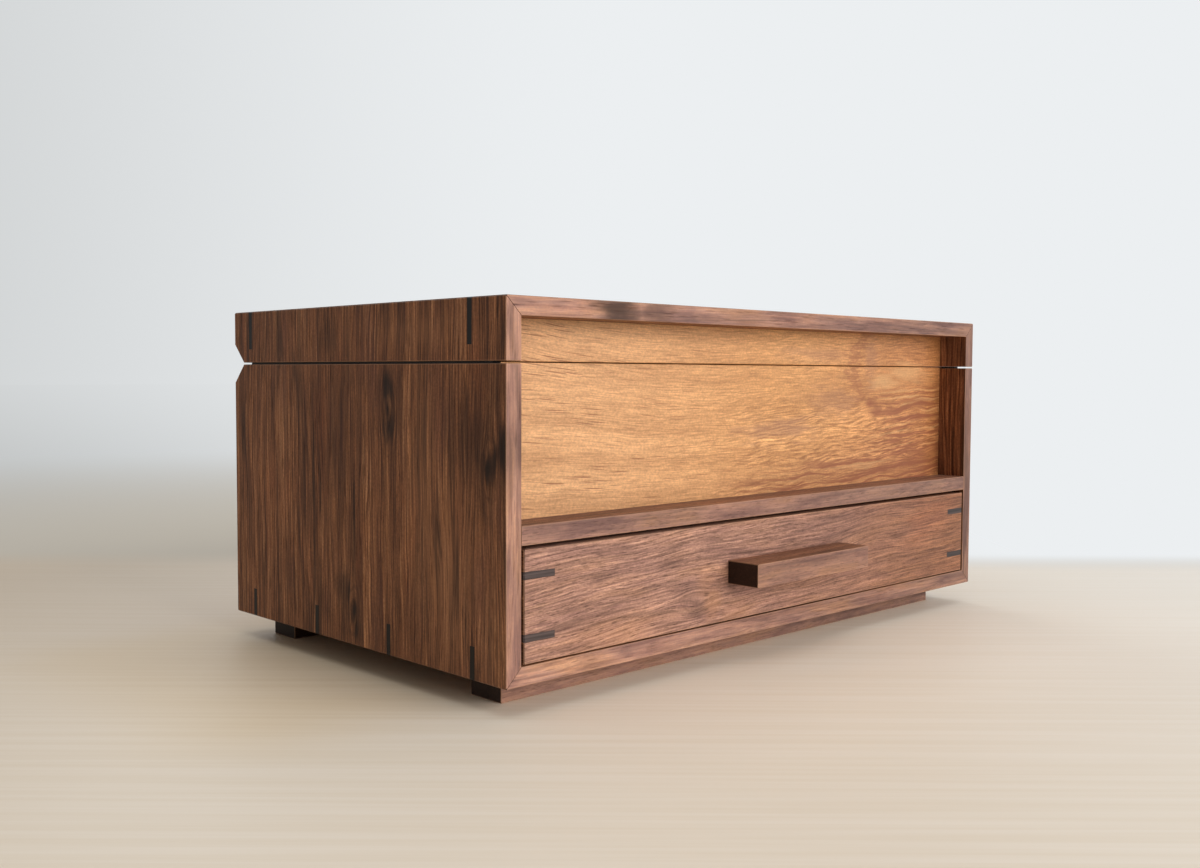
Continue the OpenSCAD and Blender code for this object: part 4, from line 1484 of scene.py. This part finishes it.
def rounded_oblong(half_y, half_z, count=56):
    turn = np.arange(count) * 2 * math.pi / count
    c, s = np.cos(turn), np.sin(turn)
    bend = 2 / OUTLINE_POWER
    return half_y * np.sign(c) * np.abs(c) ** bend, half_z * np.sign(s) * np.abs(s) ** bend


def pillow_blank():
    """A closed roll around the middle, in mm, drawn in a little towards its ends."""
    outwards = [(0.4, 1), (0.8, 0.98), (0.93, 0.93), (1, 0.80)]
    stations = [(-place, share) for place, share in reversed(outwards)] + [(0, 1)] + outwards
    half = PILLOW / 2 * BLANK_SHARE
    rings = []
    for place, share in stations:
        y, z = rounded_oblong(half[1] * share, half[2] * share)
        rings.append(np.stack([np.full(len(y), place * half[0]), y, z], axis=1))
    count = len(rings[0])
    faces = [tuple(range(count)), tuple(reversed(range(count * (len(rings) - 1), count * len(rings))))]
    for i in range(len(rings) - 1):
        for k in range(count):
            a, b, after = i * count, (i + 1) * count, (k + 1) % count
            faces.append((a + k, a + after, b + after, b + k))
    return np.concatenate(rings), faces


print("pillow", [round(float(c), 1) for c in PILLOW], "mm, with seams", SEAM_INSET, "mm from its ends")

# %% Stuffing
PRESSURE = 4.0
STUFFING_STEPS = 20
MOST_MOVED = 3.5


def points_of(mesh):
    return np.array([v.co for v in mesh.vertices])


def stuffed(piece):
    """Blows the piece up with its seams held. No point moves by more than MOST_MOVED."""
    before = points_of(piece.data)
    held = [i for i, x in enumerate(before[:, 0] / MM) if abs(abs(x) - SEAM_AT) < VOXEL / 2]
    piece.vertex_groups.new(name="seams").add(held, 1.0, "REPLACE")
    cloth = piece.modifiers.new("stuffing", "CLOTH").settings
    cloth.vertex_group_mass = "seams"
    cloth.use_pressure = True
    cloth.uniform_pressure_force = PRESSURE
    cloth.effector_weights.gravity = 0
    for step in range(1, STUFFING_STEPS + 1):
        scene.frame_set(step)
    keep_shape(piece)
    scene.frame_set(1)
    moved = points_of(piece.data) - before
    length = np.maximum(np.linalg.norm(moved, axis=1), 1e-9)
    after = before + moved * np.minimum(1, MOST_MOVED * MM / length)[:, None]
    piece.data.vertices.foreach_set("co", after.astype(np.float32).ravel())
    print("stuffing moved points by up to", round(length.max() / MM, 2), "mm, kept to", MOST_MOVED)


def pillow_form():
    verts, faces = pillow_blank()
    mesh = bpy.data.meshes.new("pillow_form")
    mesh.from_pydata((verts * MM).tolist(), [], faces)
    form = bpy.data.objects.new("pillow_form", mesh)
    scene.collection.objects.link(form)
    form.modifiers.new("even faces", "REMESH").voxel_size = VOXEL * MM
    keep_shape(form)
    stuffed(form)
    form.modifiers.new("smooth", "SUBSURF").levels = 1
    keep_shape(form)
    return form


form = pillow_form()
print("pillow form:", len(form.data.polygons), "faces")

# %% Fitting, resting and gathering
ROOM = np.array((0.4, 2.6, 0.4))
RESTING = 1.4
PINCH, PINCH_W = 0.022, 3.5
GATHERS = 30
GATHER_DEPTH = 0.02


def fitted(points):
    """The stuffed roll in mm, sized to its place, gathered beside the seams and flat where it rests."""
    low, high = points.min(axis=0), points.max(axis=0)
    points = (points - (low + high) / 2) / (high - low) * (PILLOW - ROOM)
    turn = np.arctan2(points[:, 2], points[:, 1])
    beside = np.exp(-(((np.abs(points[:, 0]) - SEAM_AT) / PINCH_W) ** 2))
    pinch = 1 - beside * (PINCH + GATHER_DEPTH * np.sin(turn * GATHERS + np.sign(points[:, 0])))
    points[:, 1:] *= pinch[:, None]
    points[:, 2] += (PILLOW - ROOM)[2] / 2
    points[:, 2] = np.maximum(points[:, 2] - RESTING, 0) * PILLOW[2] / (PILLOW[2] - RESTING)
    return points


form_points = fitted(points_of(form.data) / MM)
form_faces = [tuple(p.vertices) for p in form.data.polygons]
bpy.data.objects.remove(form)
print("fitted to", [round(float(c), 1) for c in form_points.max(axis=0) - form_points.min(axis=0)], "mm")

# %% Piping
form_tree = BVHTree.FromPolygons(form_points.tolist(), form_faces)
PIPING_R = 0.8
PIPING_OUT = 0.3
PIPING_POINTS = 88


def piping(seam):
    """A thin tube laid around the roll on one of its seams."""
    y, z = rounded_oblong(PILLOW[1], PILLOW[2], PIPING_POINTS)
    middle = Vector((seam, 0, PILLOW[2] / 2))
    points = []
    for far in zip(y, z):
        outside = middle + Vector((0, *far))
        inwards = (middle - outside).normalized()
        hit = form_tree.ray_cast(outside, inwards)[0] - inwards * PIPING_R * PIPING_OUT
        hit.z = max(hit.z, PIPING_R)
        points.append(hit)
    return tube(points, (1.0, 0, 0), [PIPING_R] * PIPING_POINTS, True)


roll_faces = len(form_faces)
pillow_points, pillow_faces = joined([(form_points, form_faces), piping(-SEAM_AT), piping(SEAM_AT)])
print("one pillow:", len(pillow_faces), "faces")

# %% Twelve pillows
DENT = 0.35
DENT_TURN = 0.12
DENTED_FROM = 12
dents = np.random.default_rng(12)
for name in [n for n in nodes if n.startswith("watch_pillow")]:
    low, high = (np.array(corner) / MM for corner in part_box(name))
    flip = dents.choice((-1.0, 1.0))
    points = pillow_points * np.array((flip, flip, 1))
    waves = sum(np.sin(points @ dents.normal(0, DENT_TURN, 3) + dents.uniform(0, 6)) for _ in range(3)) / 3
    lift = np.clip(points[:, 2] / DENTED_FROM, 0, 1) * waves * DENT
    points[:, 2] += lift - DENT
    points[:, 2] = np.maximum(points[:, 2], 0)
    points += np.array(((low[0] + high[0]) / 2, (low[1] + high[1]) / 2, low[2]))
    mesh = bpy.data.meshes.new(name + "_stuffed")
    mesh.from_pydata((points * MM).tolist(), [], pillow_faces)
    mesh.shade_smooth()
    pillow = dress(new_piece(name + "_stuffed", mesh, name), pillow_suede)
    mesh.materials.append(tray_suede)
    mesh.polygons.foreach_set("material_index", [int(i >= roll_faces) for i in range(len(pillow_faces))])
print("twelve pillows, each with two piped seams")
